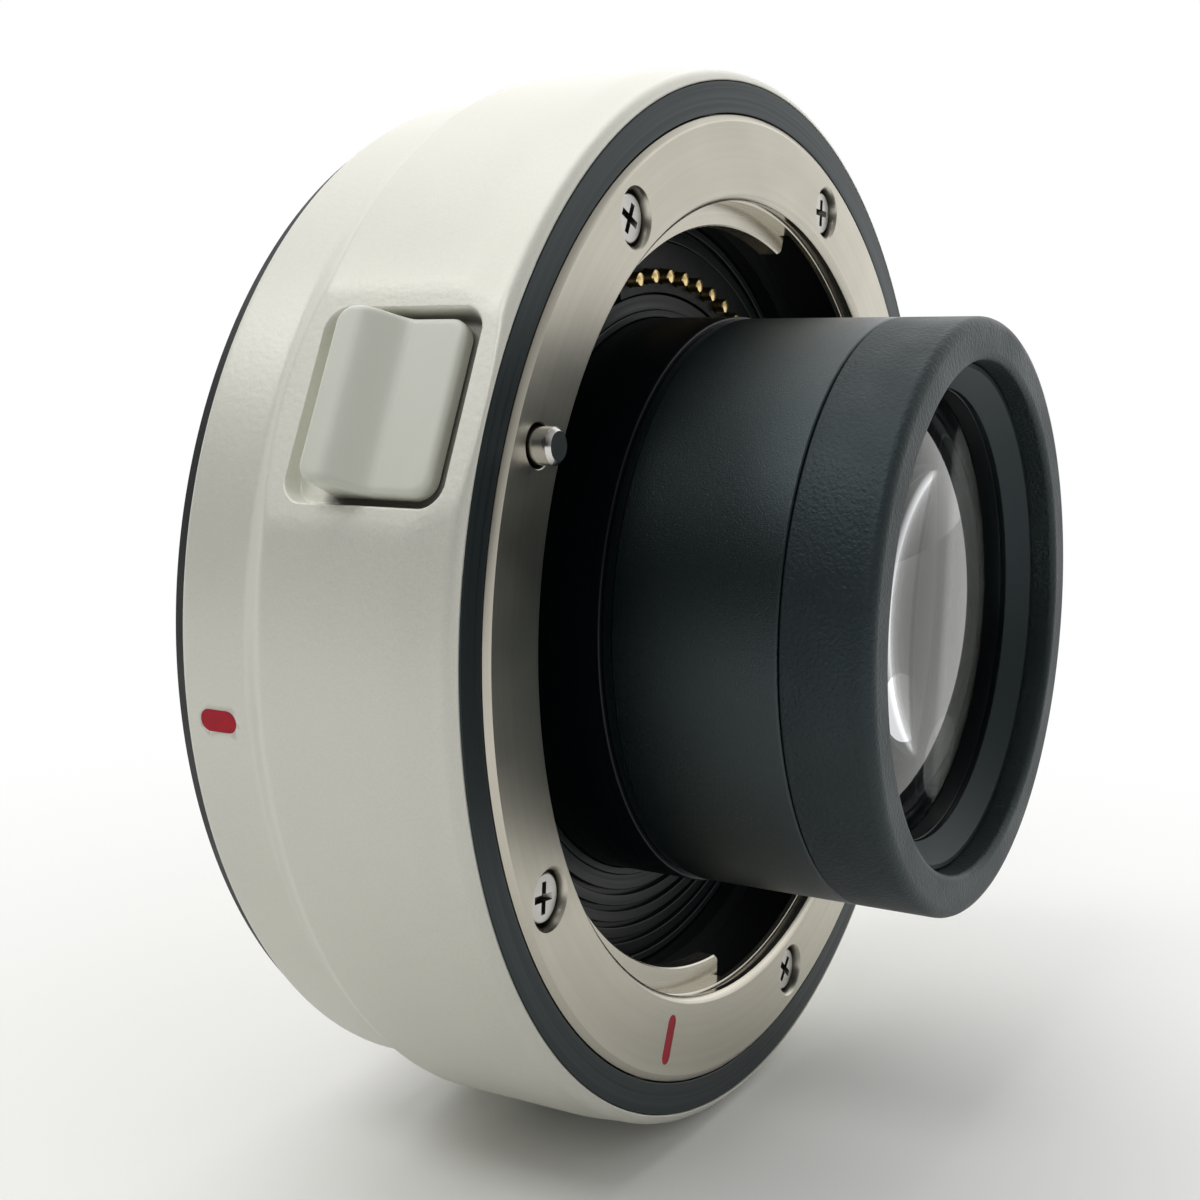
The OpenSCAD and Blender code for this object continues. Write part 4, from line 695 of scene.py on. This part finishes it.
# Front mount: a stainless bayonet ring with three lugs inside its bore. Turned, milled between the lugs and
# left satin, with five counterbored screw holes, the lock pin's hole and the engraved index line.
throat_r, flange_r, flange_low_z, front_z = 27.0, 32.48, 18.9, 20.3
lug_in_r, lug_low_z, lug_high_z, collar_out_r, gap_z = 25.4, 16.7, 18.2, 27.9, 18.55
front_index = 246.8
lug_ends = [(front_index + middle - 29, front_index + middle + 29) for middle in (-7, 113, 212)]
lug_corner, lug_edge, lug_wall, rim_bevel, throat_bevel = 0.5, 0.1, 0.9, 0.41, 0.38
mount_ring = [(throat_r + 0.04, gap_z), (collar_out_r, gap_z), (collar_out_r, flange_low_z),
              (flange_r, flange_low_z)]
rim_in_r, throat_out_r = flange_r - rim_bevel, throat_r + throat_bevel
# round the front from the rim into the bore, where a groove runs
for r, drop in (
        (flange_r, 0.29), (flange_r - 0.02, 0.25), (rim_in_r + 0.03, 0.025), (rim_in_r - 0.03, 0),
        (rim_in_r - 0.15, 0), (throat_out_r + 0.15, 0), (throat_out_r + 0.03, 0), (throat_out_r - 0.02, 0.02),
        (throat_r + 0.02, throat_bevel - 0.02), (throat_r, throat_bevel + 0.03), (throat_r, 0.8),
        (throat_r + 0.06, 0.84), (throat_r + 0.24, 0.9), (throat_r + 0.24, 1.24), (throat_r + 0.05, 1.3),
        (throat_r, 1.34)):
    mount_ring.append((r, front_z - drop))
mount_ring.append((throat_r, gap_z + 0.04))


def lug(start, stop, r_tip, z_low, z_high, r_root, z_root, finish):
    """A lug from r_tip to r_root, with round corners at its free edge and a wall up to z_root behind it."""
    r_wall = r_root - lug_wall
    turn = math.degrees(lug_corner / r_tip)
    ends = [turn * (1 - math.cos(math.radians(11.25 * k))) for k in range(9)]
    angles = [start + e for e in ends] + span(start + turn, stop - turn, 1.5)[1:]
    angles += [stop - e for e in reversed(ends)]
    points = []
    for angle in angles:
        short = max(0, lug_corner - math.radians(min(angle - start, stop - angle)) * r_tip)
        r = r_tip + lug_corner - math.sqrt(max(0, lug_corner ** 2 - short ** 2))
        row = [(r + lug_edge, z_low), (r_root, z_low), (r_root, z_root), (r_wall, z_root), (r_wall, z_high),
               (r + lug_edge, z_high), (r, z_high - lug_edge), (r, z_low + lug_edge)]
        points += [at(q, angle, z) for q, z in row]
    rows = len(row)
    ends = [list(range(rows)), list(range(len(points) - rows, len(points)))]
    return shape_piece("lug", points, walls(len(angles), rows) + ends, finish, crease=28)


def joined(piece, *others):
    """One piece made of pieces that touch."""
    shape = bmesh.new()
    for part in (piece, *others):
        shape.from_mesh(part.data)
    shape.to_mesh(piece.data)
    shape.free()
    for part in others:
        bpy.data.objects.remove(part)
    even_shading(piece, crease=28)
    return piece


mount_steel, mount_tree, mount_skin = new_finish(
    "mount_steel", Metallic=1.0, Anisotropic=0.55, Specular_IOR_Level=0.5)
mount_marks = place_group(mount_tree, turning_marks, Lines=22, Run=0.8)
mount_drift = place_group(mount_tree, surface_tooth, Patch=5, Size=0.12)
mount_shade = two_tone(mount_tree, mount_marks["Wide"], (0.53, 0.502, 0.425, 1), (0.57, 0.54, 0.462, 1))
# painted shade with some grime: the counterbores and other recesses sunk into the face, clear of the bore and
# the rim, are coloured darker
sunk = ramp(mount_tree, mount_marks["Height"], front_z - 0.12, front_z - 0.45)
off_bore = ramp(mount_tree, mount_marks["Radius"], throat_r + 0.6, throat_r + 0.7)
off_rim = ramp(mount_tree, mount_marks["Radius"], 31.8, 31.7)
counterbore_shade_and_grime = sum_up(mount_tree, "MULTIPLY", sunk, sum_up(mount_tree, "MULTIPLY", off_bore, off_rim))
mount_gloss = sum_up(mount_tree, "ADD", spread(mount_tree, mount_marks["Lines"], 0.28, 0.34),
                     spread(mount_tree, mount_drift["Cloud"], 0, 0.06))
brighter_bore = ramp(mount_tree, mount_marks["Radius"], throat_r + 0.3, throat_r + 0.2, 0.0, -0.1)
round_axis = add(mount_tree, "Tangent", direction_type="RADIAL", axis="Y")
plug(mount_tree, mount_skin, Tangent=round_axis.outputs[0],
     Base_Color=blend_colours(mount_tree, counterbore_shade_and_grime, mount_shade, (0.2, 0.19, 0.165, 1)),
     Roughness=sum_up(mount_tree, "ADD", mount_gloss, brighter_bore))
raise_bumps(mount_tree, mount_skin, mount_marks["Lines"], 0.0022)
front_mount = turned("front_mount_turned", mount_ring, mount_steel, crease=28)
screw_circle_r, head_seat_z, counterbore_r, counterbore_flare = 29.7, 19.3, 1.7, 0.2
front_screws = [front_index + a for a in (37.8, 121.8, 178.9, 236.6, 321.3)]
pin_angle, pin_hole_r, pin_hole_low_z, pin_hole_flare = 156.5, 1.29, 18.0, 0.06
index_in_r, index_len, index_w = 28.2, 3.2, 1.05


def drill(piece, centre, r, z_low, z_open, flare):
    """Cuts a hole that opens at z_open with a broken edge."""
    way = 1 if z_open > z_low else -1
    bit = [(0, z_low), (r, z_low), (r, z_open - way * flare), (r + flare, z_open), (r + flare, z_open + way),
           (0, z_open + way)]
    cut_away(piece, turned("hole", bit, screw_steel, closed=False, steps=64, centre=centre), crease=28)


for angle in front_screws:
    drill(front_mount, (screw_circle_r, angle), counterbore_r, head_seat_z, front_z, counterbore_flare)
drill(front_mount, (screw_circle_r, pin_angle), pin_hole_r, pin_hole_low_z, front_z, pin_hole_flare)
index_line = prism("index_line", capsule(index_in_r, index_len, index_w), front_z - mark_depth, front_z + 1,
                   lambda u, v, z: on_pad(u, z, v, front_index), mount_steel)
cut_away(front_mount, index_line, crease=28)
joined(front_mount, *[lug(start, stop, lug_in_r, lug_low_z, lug_high_z, collar_out_r, gap_z + 0.1,
                          mount_steel) for start, stop in lug_ends])
fit(front_mount, "converter_body", "mount_steel", "front_mount_flange")


# Mount screws: cross-recess screws with flat heads, five in front and four behind, of plated steel.
# Each sits in a counterbore and clamps its mount ring to the chassis.
head_r, head_h, head_edge, head_bevel, shank_r, shank_end_z = 1.48, 0.55, 0.1, 0.03, 0.83, -0.6
cross_top, cross_low, cross_depth = (0.95, 0.22), (0.74, 0.15), 0.5
# painted shade: a dark copy of the screw steel for the walls and floor of each cross recess
painted_recess_shade = cloudy_finish("painted_recess_shade", (0.08, 0.077, 0.07), 1, 0.08, 0.006, 0.45, Metallic=1.0)


def screw_head(name, finish):
    """One head, standing on z = 0 on the optical axis, with a short shank below."""
    arm, half = cross_top
    tip = math.degrees(math.atan(half / arm))
    turns = [90 * q + a for q in range(4) for a in (-tip, 0, tip, *span(tip, 90 - tip, 5)[1:])]
    rings = [(head_r - head_edge, head_h), (head_r - head_bevel, head_h - head_bevel),
             (head_r, head_h - head_edge), (head_r, head_bevel), (head_r - head_bevel, 0), (shank_r, 0),
             (shank_r, shank_end_z)]
    count = len(turns)
    points = [at(r, a, z) for r, z in rings for a in turns]
    faces = walls(len(rings), count)
    faces.append([(len(rings) - 1) * count + k for k in range(count)])
    top = len(points)
    for (arm, half), z in ((cross_top, head_h), (cross_low, head_h - cross_depth)):
        for q in range(4):
            for u, v in ((arm, -half), (arm, half), (half, half)):
                points.append(at(math.hypot(u, v), 90 * q + math.degrees(math.atan2(v, u)), z))
    for q in range(4):
        first, step = 3 * q, count // 4
        corner = [top + (first + k) % 12 for k in range(4)]
        rim = [(q * step + k) % count for k in range(step + 1)]
        faces += [[corner[0], *rim[:3], corner[1]], [corner[1], *rim[2:], corner[3], corner[2]]]
    faces += [[top + k, top + (k + 1) % 12, top + 12 + (k + 1) % 12, top + 12 + k] for k in range(12)]
    faces.append([top + 12 + k for k in range(12)])
    head = shape_piece(name, points, faces, finish)
    # the cross recess's walls and floor take the dark finish, as painted shade
    head.data.materials.append(painted_recess_shade)
    for face in head.data.polygons:
        low = head_h * MM + face.center.y
        near = math.hypot(face.center.x, face.center.z) < cross_low[0] * MM
        face.material_index = int(0.0001 < low < head_h * MM and near)
    return head


def copies(name, pattern, places):
    """One piece made of copies of a pattern piece, each at a matrix."""
    shape = bmesh.new()
    for matrix in places:
        mark = len(shape.verts)
        shape.from_mesh(pattern.data)
        shape.verts.ensure_lookup_table()
        bmesh.ops.transform(shape, matrix=matrix, verts=shape.verts[mark:])
    mesh = bpy.data.meshes.new(name)
    shape.to_mesh(mesh)
    shape.free()
    for finish in pattern.data.materials:
        mesh.materials.append(finish)
    piece = set_down(name, mesh)
    even_shading(piece)
    return piece


rear_screw_r, rear_seat_z = 29.3, 1.0
rear_screws = [rear_mark_angle + a for a in (13.2, 103.2, 193.2, 283.2)]
screw_pattern = screw_head("screw_pattern", screw_steel)
for side, circle_r, seat_z, tip_over, screws, turns in (
        ("front", screw_circle_r, head_seat_z, 0, front_screws, (40, 22, 4, 25, 4)),
        ("rear", rear_screw_r, rear_seat_z, math.pi, rear_screws, (33, 71, 8, 52))):
    places = [Matrix.Translation(at(circle_r, angle, seat_z)) @ Matrix.Rotation(tip_over, 4, "X")
              @ Matrix.Rotation(math.radians(turn), 4, "Y") for angle, turn in zip(screws, turns)]
    fit(copies(side + "_screws_plated", screw_pattern, places), "converter_body", "screw_steel",
        side + "_mount_screws")
bpy.data.objects.remove(screw_pattern)


# Lock pin: a ground and polished steel pin that stands out of the front mount until the lever takes it back.
# It runs in the chassis and carries two clips and the coil spring.
pin_r, pin_stem_r, pin_top_z, pin_step_z, pin_tail_z = 1.07, 0.82, 21.6, 15.9, 4.2
pin_steel = turned_finish("pin_steel", (0.6, 0.59, 0.57), 0.2, 9, 0.004, Metallic=1.0)
lock_pin = turned("lock_pin_ground", [
    (0, pin_tail_z), (pin_stem_r - 0.15, pin_tail_z), (pin_stem_r, pin_tail_z + 0.15),
    (pin_stem_r, pin_step_z), (pin_r, pin_step_z), (pin_r, pin_top_z - 0.24), (pin_r - 0.02, pin_top_z - 0.2),
    (pin_r - 0.19, pin_top_z - 0.03), (pin_r - 0.23, pin_top_z), (0, pin_top_z)],
    pin_steel, closed=False, steps=72, centre=(screw_circle_r, pin_angle), crease=26)
fit(lock_pin, "release_slide", "pin_steel", "lens_lock_pin")


# Front barrel: a turned black sleeve over the lens tube, painted with a fine dull grain, that holds the front
# element. A narrow groove runs round its root.
barrel_r, barrel_low_z, seam_z = 19.2, 19.49, 31.02
root_r, root_z = 18.98, 20.15
spigot_in_r, spigot_out_r, spigot_top_z = 16.4, 17.5, 32.62
front_lens_r, front_seat_z, front_rim_z, barrel_shelf_z = 15.7, 29.75, 32.02, 28.55
fit_gap, glass_gap = 0.05, 0.02
barrel_paint, barrel_tree, barrel_skin = new_finish("barrel_paint", Specular_IOR_Level=0.72,
                                                    Specular_Tint=cool)
barrel_drift = place_group(barrel_tree, surface_tooth, Patch=7, Size=0.085)
plug(barrel_tree, barrel_skin,
     Base_Color=two_tone(barrel_tree, barrel_drift["Cloud"], (0.0024, 0.0062, 0.0074, 1),
                         (0.004, 0.0082, 0.0096, 1)),
     Roughness=spread(barrel_tree, barrel_drift["Tooth"], 0.27, 0.42))
raise_bumps(barrel_tree, barrel_skin, barrel_drift["Tooth"], 0.026)
barrel = turned("barrel_turned", softened([
    (sleeve_r + fit_gap, barrel_low_z, 0), (root_r, barrel_low_z, 0.08), (root_r, root_z, 0),
    (barrel_r - 0.14, root_z, 0.04), (barrel_r, root_z + 0.14, 0.08), (barrel_r, seam_z, 0.2),
    (spigot_out_r, seam_z, 0), (spigot_out_r, spigot_top_z, 0.1), (spigot_in_r, spigot_top_z, 0.1),
    (spigot_in_r, front_rim_z + glass_gap, 0), (front_lens_r + fit_gap, front_rim_z + glass_gap, 0),
    (front_lens_r + fit_gap, front_seat_z, 0), (front_lens_r - lens_land, front_seat_z, 0.1),
    (front_lens_r - lens_land, barrel_shelf_z, 0.1), (sleeve_r + fit_gap, barrel_shelf_z, 0)]), barrel_paint)
fit(barrel, "converter_body", "barrel_black", "front_barrel")


# Front element: coated, ground and polished glass that bulges on both sides, seated in the barrel.
front_bulge, back_bulge = 2.6, 1.0
front_glass = glass_finish("front_glass", 1.62, [0.96, 0.975, 0.98], Specular_Tint=(0.9, 0.91, 0.82, 1))
front_lens = ground_glass("front_lens_ground", front_lens_r, front_seat_z + glass_gap, front_rim_z,
                          front_bulge, back_bulge, front_glass)
fit(front_lens, "converter_body", "optical_glass", "lens_1")


# Retaining ring: screwed into the barrel in front of the element. Dull slate cone outside, then a black wall
# with one turned step down to the glass.
keep_r, keep_in_r, keep_front_z, keep_cone_z, keep_face = 16.35, 14.7, 35.0, 33.65, 0.35
slate_paint, slate_tree, slate_skin = new_finish("slate_paint", Specular_IOR_Level=0.35, Specular_Tint=cool)
slate_marks = place_group(slate_tree, turning_marks, Lines=5)
on_cone = ramp(slate_tree, slate_marks["Height"], keep_cone_z - 0.06, keep_cone_z + 0.02)
plug(slate_tree, slate_skin, Roughness=ramp(slate_tree, on_cone, 0.0, 1.0, 0.26, 0.5),
     Base_Color=blend_colours(slate_tree, on_cone, (0.0045, 0.0065, 0.0076, 1), (0.019, 0.027, 0.029, 1)))
raise_bumps(slate_tree, slate_skin, slate_marks["Lines"], 0.008)
wall_step_z, step_r = keep_cone_z - 0.4, keep_in_r + 0.07
keep_corners = [(keep_r, front_rim_z + glass_gap, 0), (keep_r, keep_front_z, 0.05),
                (keep_r - keep_face, keep_front_z, 0.05), (keep_in_r, keep_cone_z, 0.05),
                (keep_in_r, wall_step_z + 0.09, 0.02), (step_r, wall_step_z + 0.05, 0),
                (step_r, wall_step_z, 0), (keep_in_r, wall_step_z - 0.04, 0.02),
                (keep_in_r, front_rim_z + glass_gap, 0.03)]
keep_ring = turned("retaining_ring_turned", softened(keep_corners, 3), slate_paint)
fit(keep_ring, "converter_body", "slate_ring", "front_retaining_ring")


# Hood: a black moulded ring at the front of the barrel with a leathery grain and a rounded rim, dulled and
# a little paler where it has been set down. It is pressed on to the barrel's spigot.
hood_low_z, hood_rim_z, hood_in_r, hood_round, worn_low_z = 31.07, 36.7, 16.45, 0.7, 35.6
leather_grain, grain_in, grain_out = new_group("leather_grain", {"Size": 0.3}, ["Height"])
grain_place = add(leather_grain, "TexCoord").outputs["Object"]
grain_scale = sum_up(leather_grain, "DIVIDE", 1000.0, grain_in["Size"])
wander = add(leather_grain, "TexNoise", {"Vector": grain_place, "Scale": grain_scale, "Detail": 1.0})
wander_by = add(leather_grain, "VectorMath", {0: wander.outputs["Color"], "Scale": 0.00022},
                operation="SCALE").outputs[0]
grain_spot = add(leather_grain, "VectorMath", {0: grain_place, 1: wander_by}, operation="ADD").outputs[0]
cells = add(leather_grain, "TexVoronoi", {"Vector": grain_spot, "Scale": grain_scale}, feature="SMOOTH_F1")
fine_scale = sum_up(leather_grain, "MULTIPLY", grain_scale, 2.2)
fine = add(leather_grain, "TexNoise", {"Vector": grain_place, "Scale": fine_scale})
grain_height = sum_up(leather_grain, "ADD", sum_up(leather_grain, "MULTIPLY", cells.outputs[0], -0.8),
                      sum_up(leather_grain, "MULTIPLY", fine.outputs[0], 0.5))
leather_grain.links.new(grain_height, grain_out["Height"])
hood_paint, hood_tree, hood_skin = new_finish("hood_paint", Specular_IOR_Level=0.5, Specular_Tint=cool)
hood_grain = place_group(hood_tree, leather_grain, Size=0.24)
hood_drift = place_group(hood_tree, surface_tooth, Patch=5, Size=0.5)
hood_marks = place_group(hood_tree, turning_marks, Lines=3)
worn = sum_up(hood_tree, "MULTIPLY", ramp(hood_tree, hood_marks["Height"], worn_low_z, hood_rim_z - 0.05),
              spread(hood_tree, hood_drift["Cloud"], 0.35, 1))
plug(hood_tree, hood_skin, Roughness=spread(hood_tree, hood_drift["Cloud"], 0.44, 0.58),
     Base_Color=blend_colours(hood_tree, worn, (0.0078, 0.0135, 0.0152, 1), (0.02, 0.027, 0.0285, 1)))
raise_bumps(hood_tree, hood_skin, hood_grain["Height"], 0.05)
hood = turned("hood_moulded", softened([
    (barrel_r, hood_low_z, 0.14), (barrel_r, hood_rim_z, hood_round), (hood_in_r, hood_rim_z, 0.45),
    (hood_in_r, spigot_top_z + fit_gap, 0), (spigot_out_r + fit_gap, spigot_top_z + fit_gap, 0),
    (spigot_out_r + fit_gap, hood_low_z, 0)], 6), hood_paint)
fit(hood, "converter_body", "hood_grain", "barrel_hood")


# Rear mount: a stainless male bayonet with three lugs round its tube, four counterbored screw holes and the
# blind hole for the camera's lock pin. Turned and milled like the front one.
rear_bore_r, rear_neck_r, rear_spigot_r, rear_flange_r = 24.11, 25.26, 26.93, 32.4
rear_spigot_z, rear_end_z, rear_flange_t = -1.96, -6.8, 1.6
rear_lug_z, rear_lug_t, rear_lug_r = -3.67, 1.5, 26.79
rear_hole_r, rear_hole_z, rear_hole_flare, end_edge, spigot_edge = 1.5, 1.2, 0.08, 0.15, 0.25
rear_lugs = [(rear_mark_angle + middle - half, rear_mark_angle + middle + half)
             for middle, half in ((53, 29), (162.5, 18), (282.5, 38))]


def rear_mount_outline(angle):
    r = rear_neck_r
    for start, stop in rear_lugs:
        way = (angle - start) % 360
        if way <= stop - start:
            depth = math.radians(min(way, stop - start - way)) * rear_lug_r
            short = max(0, lug_corner - depth)
            r = rear_lug_r - lug_corner + math.sqrt(lug_corner ** 2 - short ** 2)
    edge, lug_end_z = min(lug_edge, r - rear_neck_r), rear_lug_z - rear_lug_t
    return [(rear_bore_r, rear_end_z + end_edge), (rear_bore_r + end_edge, rear_end_z),
            (rear_neck_r - end_edge, rear_end_z), (rear_neck_r, rear_end_z + end_edge),
            (rear_neck_r, lug_end_z), (r - edge, lug_end_z), (r, lug_end_z + lug_edge),
            (r, rear_lug_z - lug_edge), (r - edge, rear_lug_z), (rear_neck_r, rear_lug_z),
            (rear_neck_r, rear_spigot_z), (rear_spigot_r - spigot_edge, rear_spigot_z),
            (rear_spigot_r, rear_spigot_z + spigot_edge), (rear_spigot_r, 0),
            (rear_flange_r - spigot_edge, 0), (rear_flange_r, 0.2), (rear_flange_r, rear_flange_t),
            (rear_bore_r, rear_flange_t)]


rear_columns = []
for start, stop in rear_lugs:
    for end, way in ((start, 1), (stop, -1)):
        rear_columns += [end - way * 0.02, end + way * 0.001]
        rear_columns += [end + way * 1.2 * (k / 7) ** 2 for k in range(1, 8)]
rear_mount = ringed("rear_mount_turned", merged_angles(span(0.4, 360.4, 1.25), rear_columns),
                    rear_mount_outline, mount_steel, crease=28)
for angle in rear_screws:
    drill(rear_mount, (rear_screw_r, angle), counterbore_r, rear_seat_z, 0, counterbore_flare)
drill(rear_mount, (screw_circle_r, pin_angle), rear_hole_r, rear_hole_z, 0, rear_hole_flare)
fit(rear_mount, "converter_body", "mount_steel", "rear_mount_flange")


# Seal: a soft black rubber ring pressed in between the rear mount and the casing, with a lip towards the
# camera.
seal_in_r, seal_out_r, seal_lip_r, seal_lip_z, seal_seat_r = 32.5, 34.1, 33.775, -0.64, 33.05
seal_top_z, seal_seat_z = 1.58, 0.38
seal_rubber = cloudy_finish("seal_rubber", (0.006, 0.007, 0.008), 5, 0.2, 0.02, 0.55, Specular_IOR_Level=0.3)
seal = turned("seal_moulded", softened([
    (seal_in_r, seal_top_z, 0.05), (seal_in_r, seal_lip_z / 2, 0.1), (seal_lip_r - 0.65, seal_lip_z, 0.15),
    (seal_lip_r, seal_lip_z, 0.18), (seal_out_r, seal_seat_z, 0.05), (seal_seat_r, seal_seat_z, 0),
    (seal_seat_r, seal_top_z, 0.05)]), seal_rubber)
fit(seal, "converter_body", "seal_rubber", "rear_seal_ring")


# Rear light frame and contact screws: a black moulded frame behind the last element, screwed in from inside,
# and the two small screws that hold the rear contacts. They stay as the CAD made them.
dress(cloudy_finish("frame_black", (0.006, 0.007, 0.008), 6, 0.15, 0.012, 0.5), "rear_baffle")
dress(screw_steel, "rear_contact_screws")


# Studio: a pale floor that fades to white under a dim room with bright walls behind, overhead and at the
# right. A broad lamp hangs overhead, smaller ones stand at the left and a weak one at the right. Glass shows
# the room white in front and behind, and dim at the right. The camera stands where the photographer did.
floor_top, floor_r = -casing_r * MM - 0.00002, 2.5
floor_mesh = bpy.data.meshes.new("studio_floor")
floor_mesh.from_pydata([(floor_r * math.cos(math.radians(a)), floor_r * math.sin(math.radians(a)), floor_top)
                        for a in range(0, 360, 5)], [], [list(range(72))])
floor = set_down("studio_floor", floor_mesh)
floor_paint, floor_tree, floor_skin = new_finish("floor_paint", Roughness=0.7, Specular_IOR_Level=0.2)
floor_place = add(floor_tree, "TexCoord").outputs["Object"]
floor_way = add(floor_tree, "VectorMath", {0: floor_place}, operation="LENGTH").outputs["Value"]
floor_fade = ramp(floor_tree, floor_way, 0.03, 0.125, interpolation_type="SMOOTHSTEP")
floor_rays = add(floor_tree, "LightPath").outputs


def either(tree, share, first, second):
    return add(tree, "Mix", {"Factor": share, 2: first, 3: second}, data_type="FLOAT").outputs[0]


def seen_through(tree, way):
    """What glass shows of the room: white in front and behind, and dim at the right."""
    ahead = ramp(tree, facing(tree, way, (-0.64, -0.77, 0)), -0.08, 0.03, 0.04)
    behind = ramp(tree, facing(tree, way, (0, 1, 0)), 0.0, 0.2)
    return sum_up(tree, "MAXIMUM", ahead, behind)


glass_spot = (0, front_rim_z * MM, 0)
floor_from = add(floor_tree, "VectorMath", {0: floor_place, 1: glass_spot}, operation="ADD").outputs[0]
floor_to = add(floor_tree, "VectorMath", {0: floor_from}, operation="NORMALIZE").outputs[0]
through = floor_rays["Is Transmission Ray"]
floor_glow = either(floor_tree, through, 1.0, seen_through(floor_tree, floor_to))
floor_white = add(floor_tree, "Emission", {"Color": (1, 1, 1, 1), "Strength": floor_glow})
seen = sum_up(floor_tree, "MAXIMUM", floor_rays["Is Camera Ray"],
              sum_up(floor_tree, "MAXIMUM", floor_rays["Is Glossy Ray"], through))
plug(floor_tree, floor_skin,
     Base_Color=blend_colours(floor_tree, seen, (0.6, 0.6, 0.58, 1), (0.9, 0.9, 0.87, 1)))
fade = sum_up(floor_tree, "MAXIMUM", floor_fade, through)
fade_share = sum_up(floor_tree, "MULTIPLY", fade, seen)
floor_mix = add(floor_tree, "MixShader", {0: fade_share, 1: floor_skin.outputs[0], 2: floor_white.outputs[0]})
plug(floor_tree, floor_tree.nodes["Material Output"], Surface=floor_mix.outputs[0])
floor_mesh.materials.append(floor_paint)

scene = bpy.context.scene
scene.view_settings.view_transform = "Standard"
surround = bpy.data.worlds.new("white_surround")
surround.use_nodes = True
scene.world = surround
sky_tree = surround.node_tree
sky_rays = add(sky_tree, "LightPath").outputs
sky_way = add(sky_tree, "TexCoord").outputs["Generated"]
room = 0.03
for way, glow in (((0.86, 0.5, 0.1), 1.45), ((0, 0, 1), 0.22), ((0.5, -0.86, 0.1), 0.35)):
    wall = ramp(sky_tree, facing(sky_tree, sky_way, way), 0.2, 0.9, 0.0, glow,
                interpolation_type="SMOOTHSTEP")
    room = sum_up(sky_tree, "ADD", wall, room)
room = either(sky_tree, sky_rays["Is Transmission Ray"], room, seen_through(sky_tree, sky_way))
backdrop = sky_tree.nodes["Background"]
plug(sky_tree, backdrop, Strength=either(sky_tree, sky_rays["Is Camera Ray"], room, 1.0))
backdrop.inputs["Color"].default_value = (1, 1, 1, 1)


def soft_lamp(name, place, aim, size, power):
    lamp = bpy.data.lights.new(name, "AREA")
    lamp.shape, lamp.size, lamp.energy = "DISK", size, power
    stand = set_down(name, lamp)
    stand.location = place
    stand.rotation_euler = (Vector(aim) - Vector(place)).to_track_quat("-Z", "Y").to_euler()


soft_lamp("overhead_lamp", (0.0, 0.12, 0.6), (0, 0, 0), 0.5, 1.02)
soft_lamp("back_left_lamp", (-0.3, 0.36, 0.52), (0, 0, 0), 0.28, 0.8)
soft_lamp("front_left_lamp", (-0.36, -0.02, 0.46), (0, -0.02, 0), 0.15, 0.52)
soft_lamp("right_lamp", (0.45, -0.45, 0.35), (0, 0, 0), 0.4, 0.28)

view_right, view_up, view_back = (0.5037, -0.8639, 0), (0.1025, 0.0597, 0.993), (-0.858, -0.5, 0.1186)
eye_place = Vector((-107.37, -71.01, 16.76)) * MM
eye = bpy.data.cameras.new("photo_view")
eye.lens, eye.sensor_width, eye.clip_start = 52.03, 36, 0.005
eye.shift_x, eye.shift_y = -0.0017, -0.0314
stand = set_down("photo_view", eye)
turn = Matrix((view_right, view_up, view_back)).transposed().to_4x4()
stand.matrix_world = Matrix.Translation(eye_place) @ turn
scene.camera = stand

bpy.context.view_layer.update()
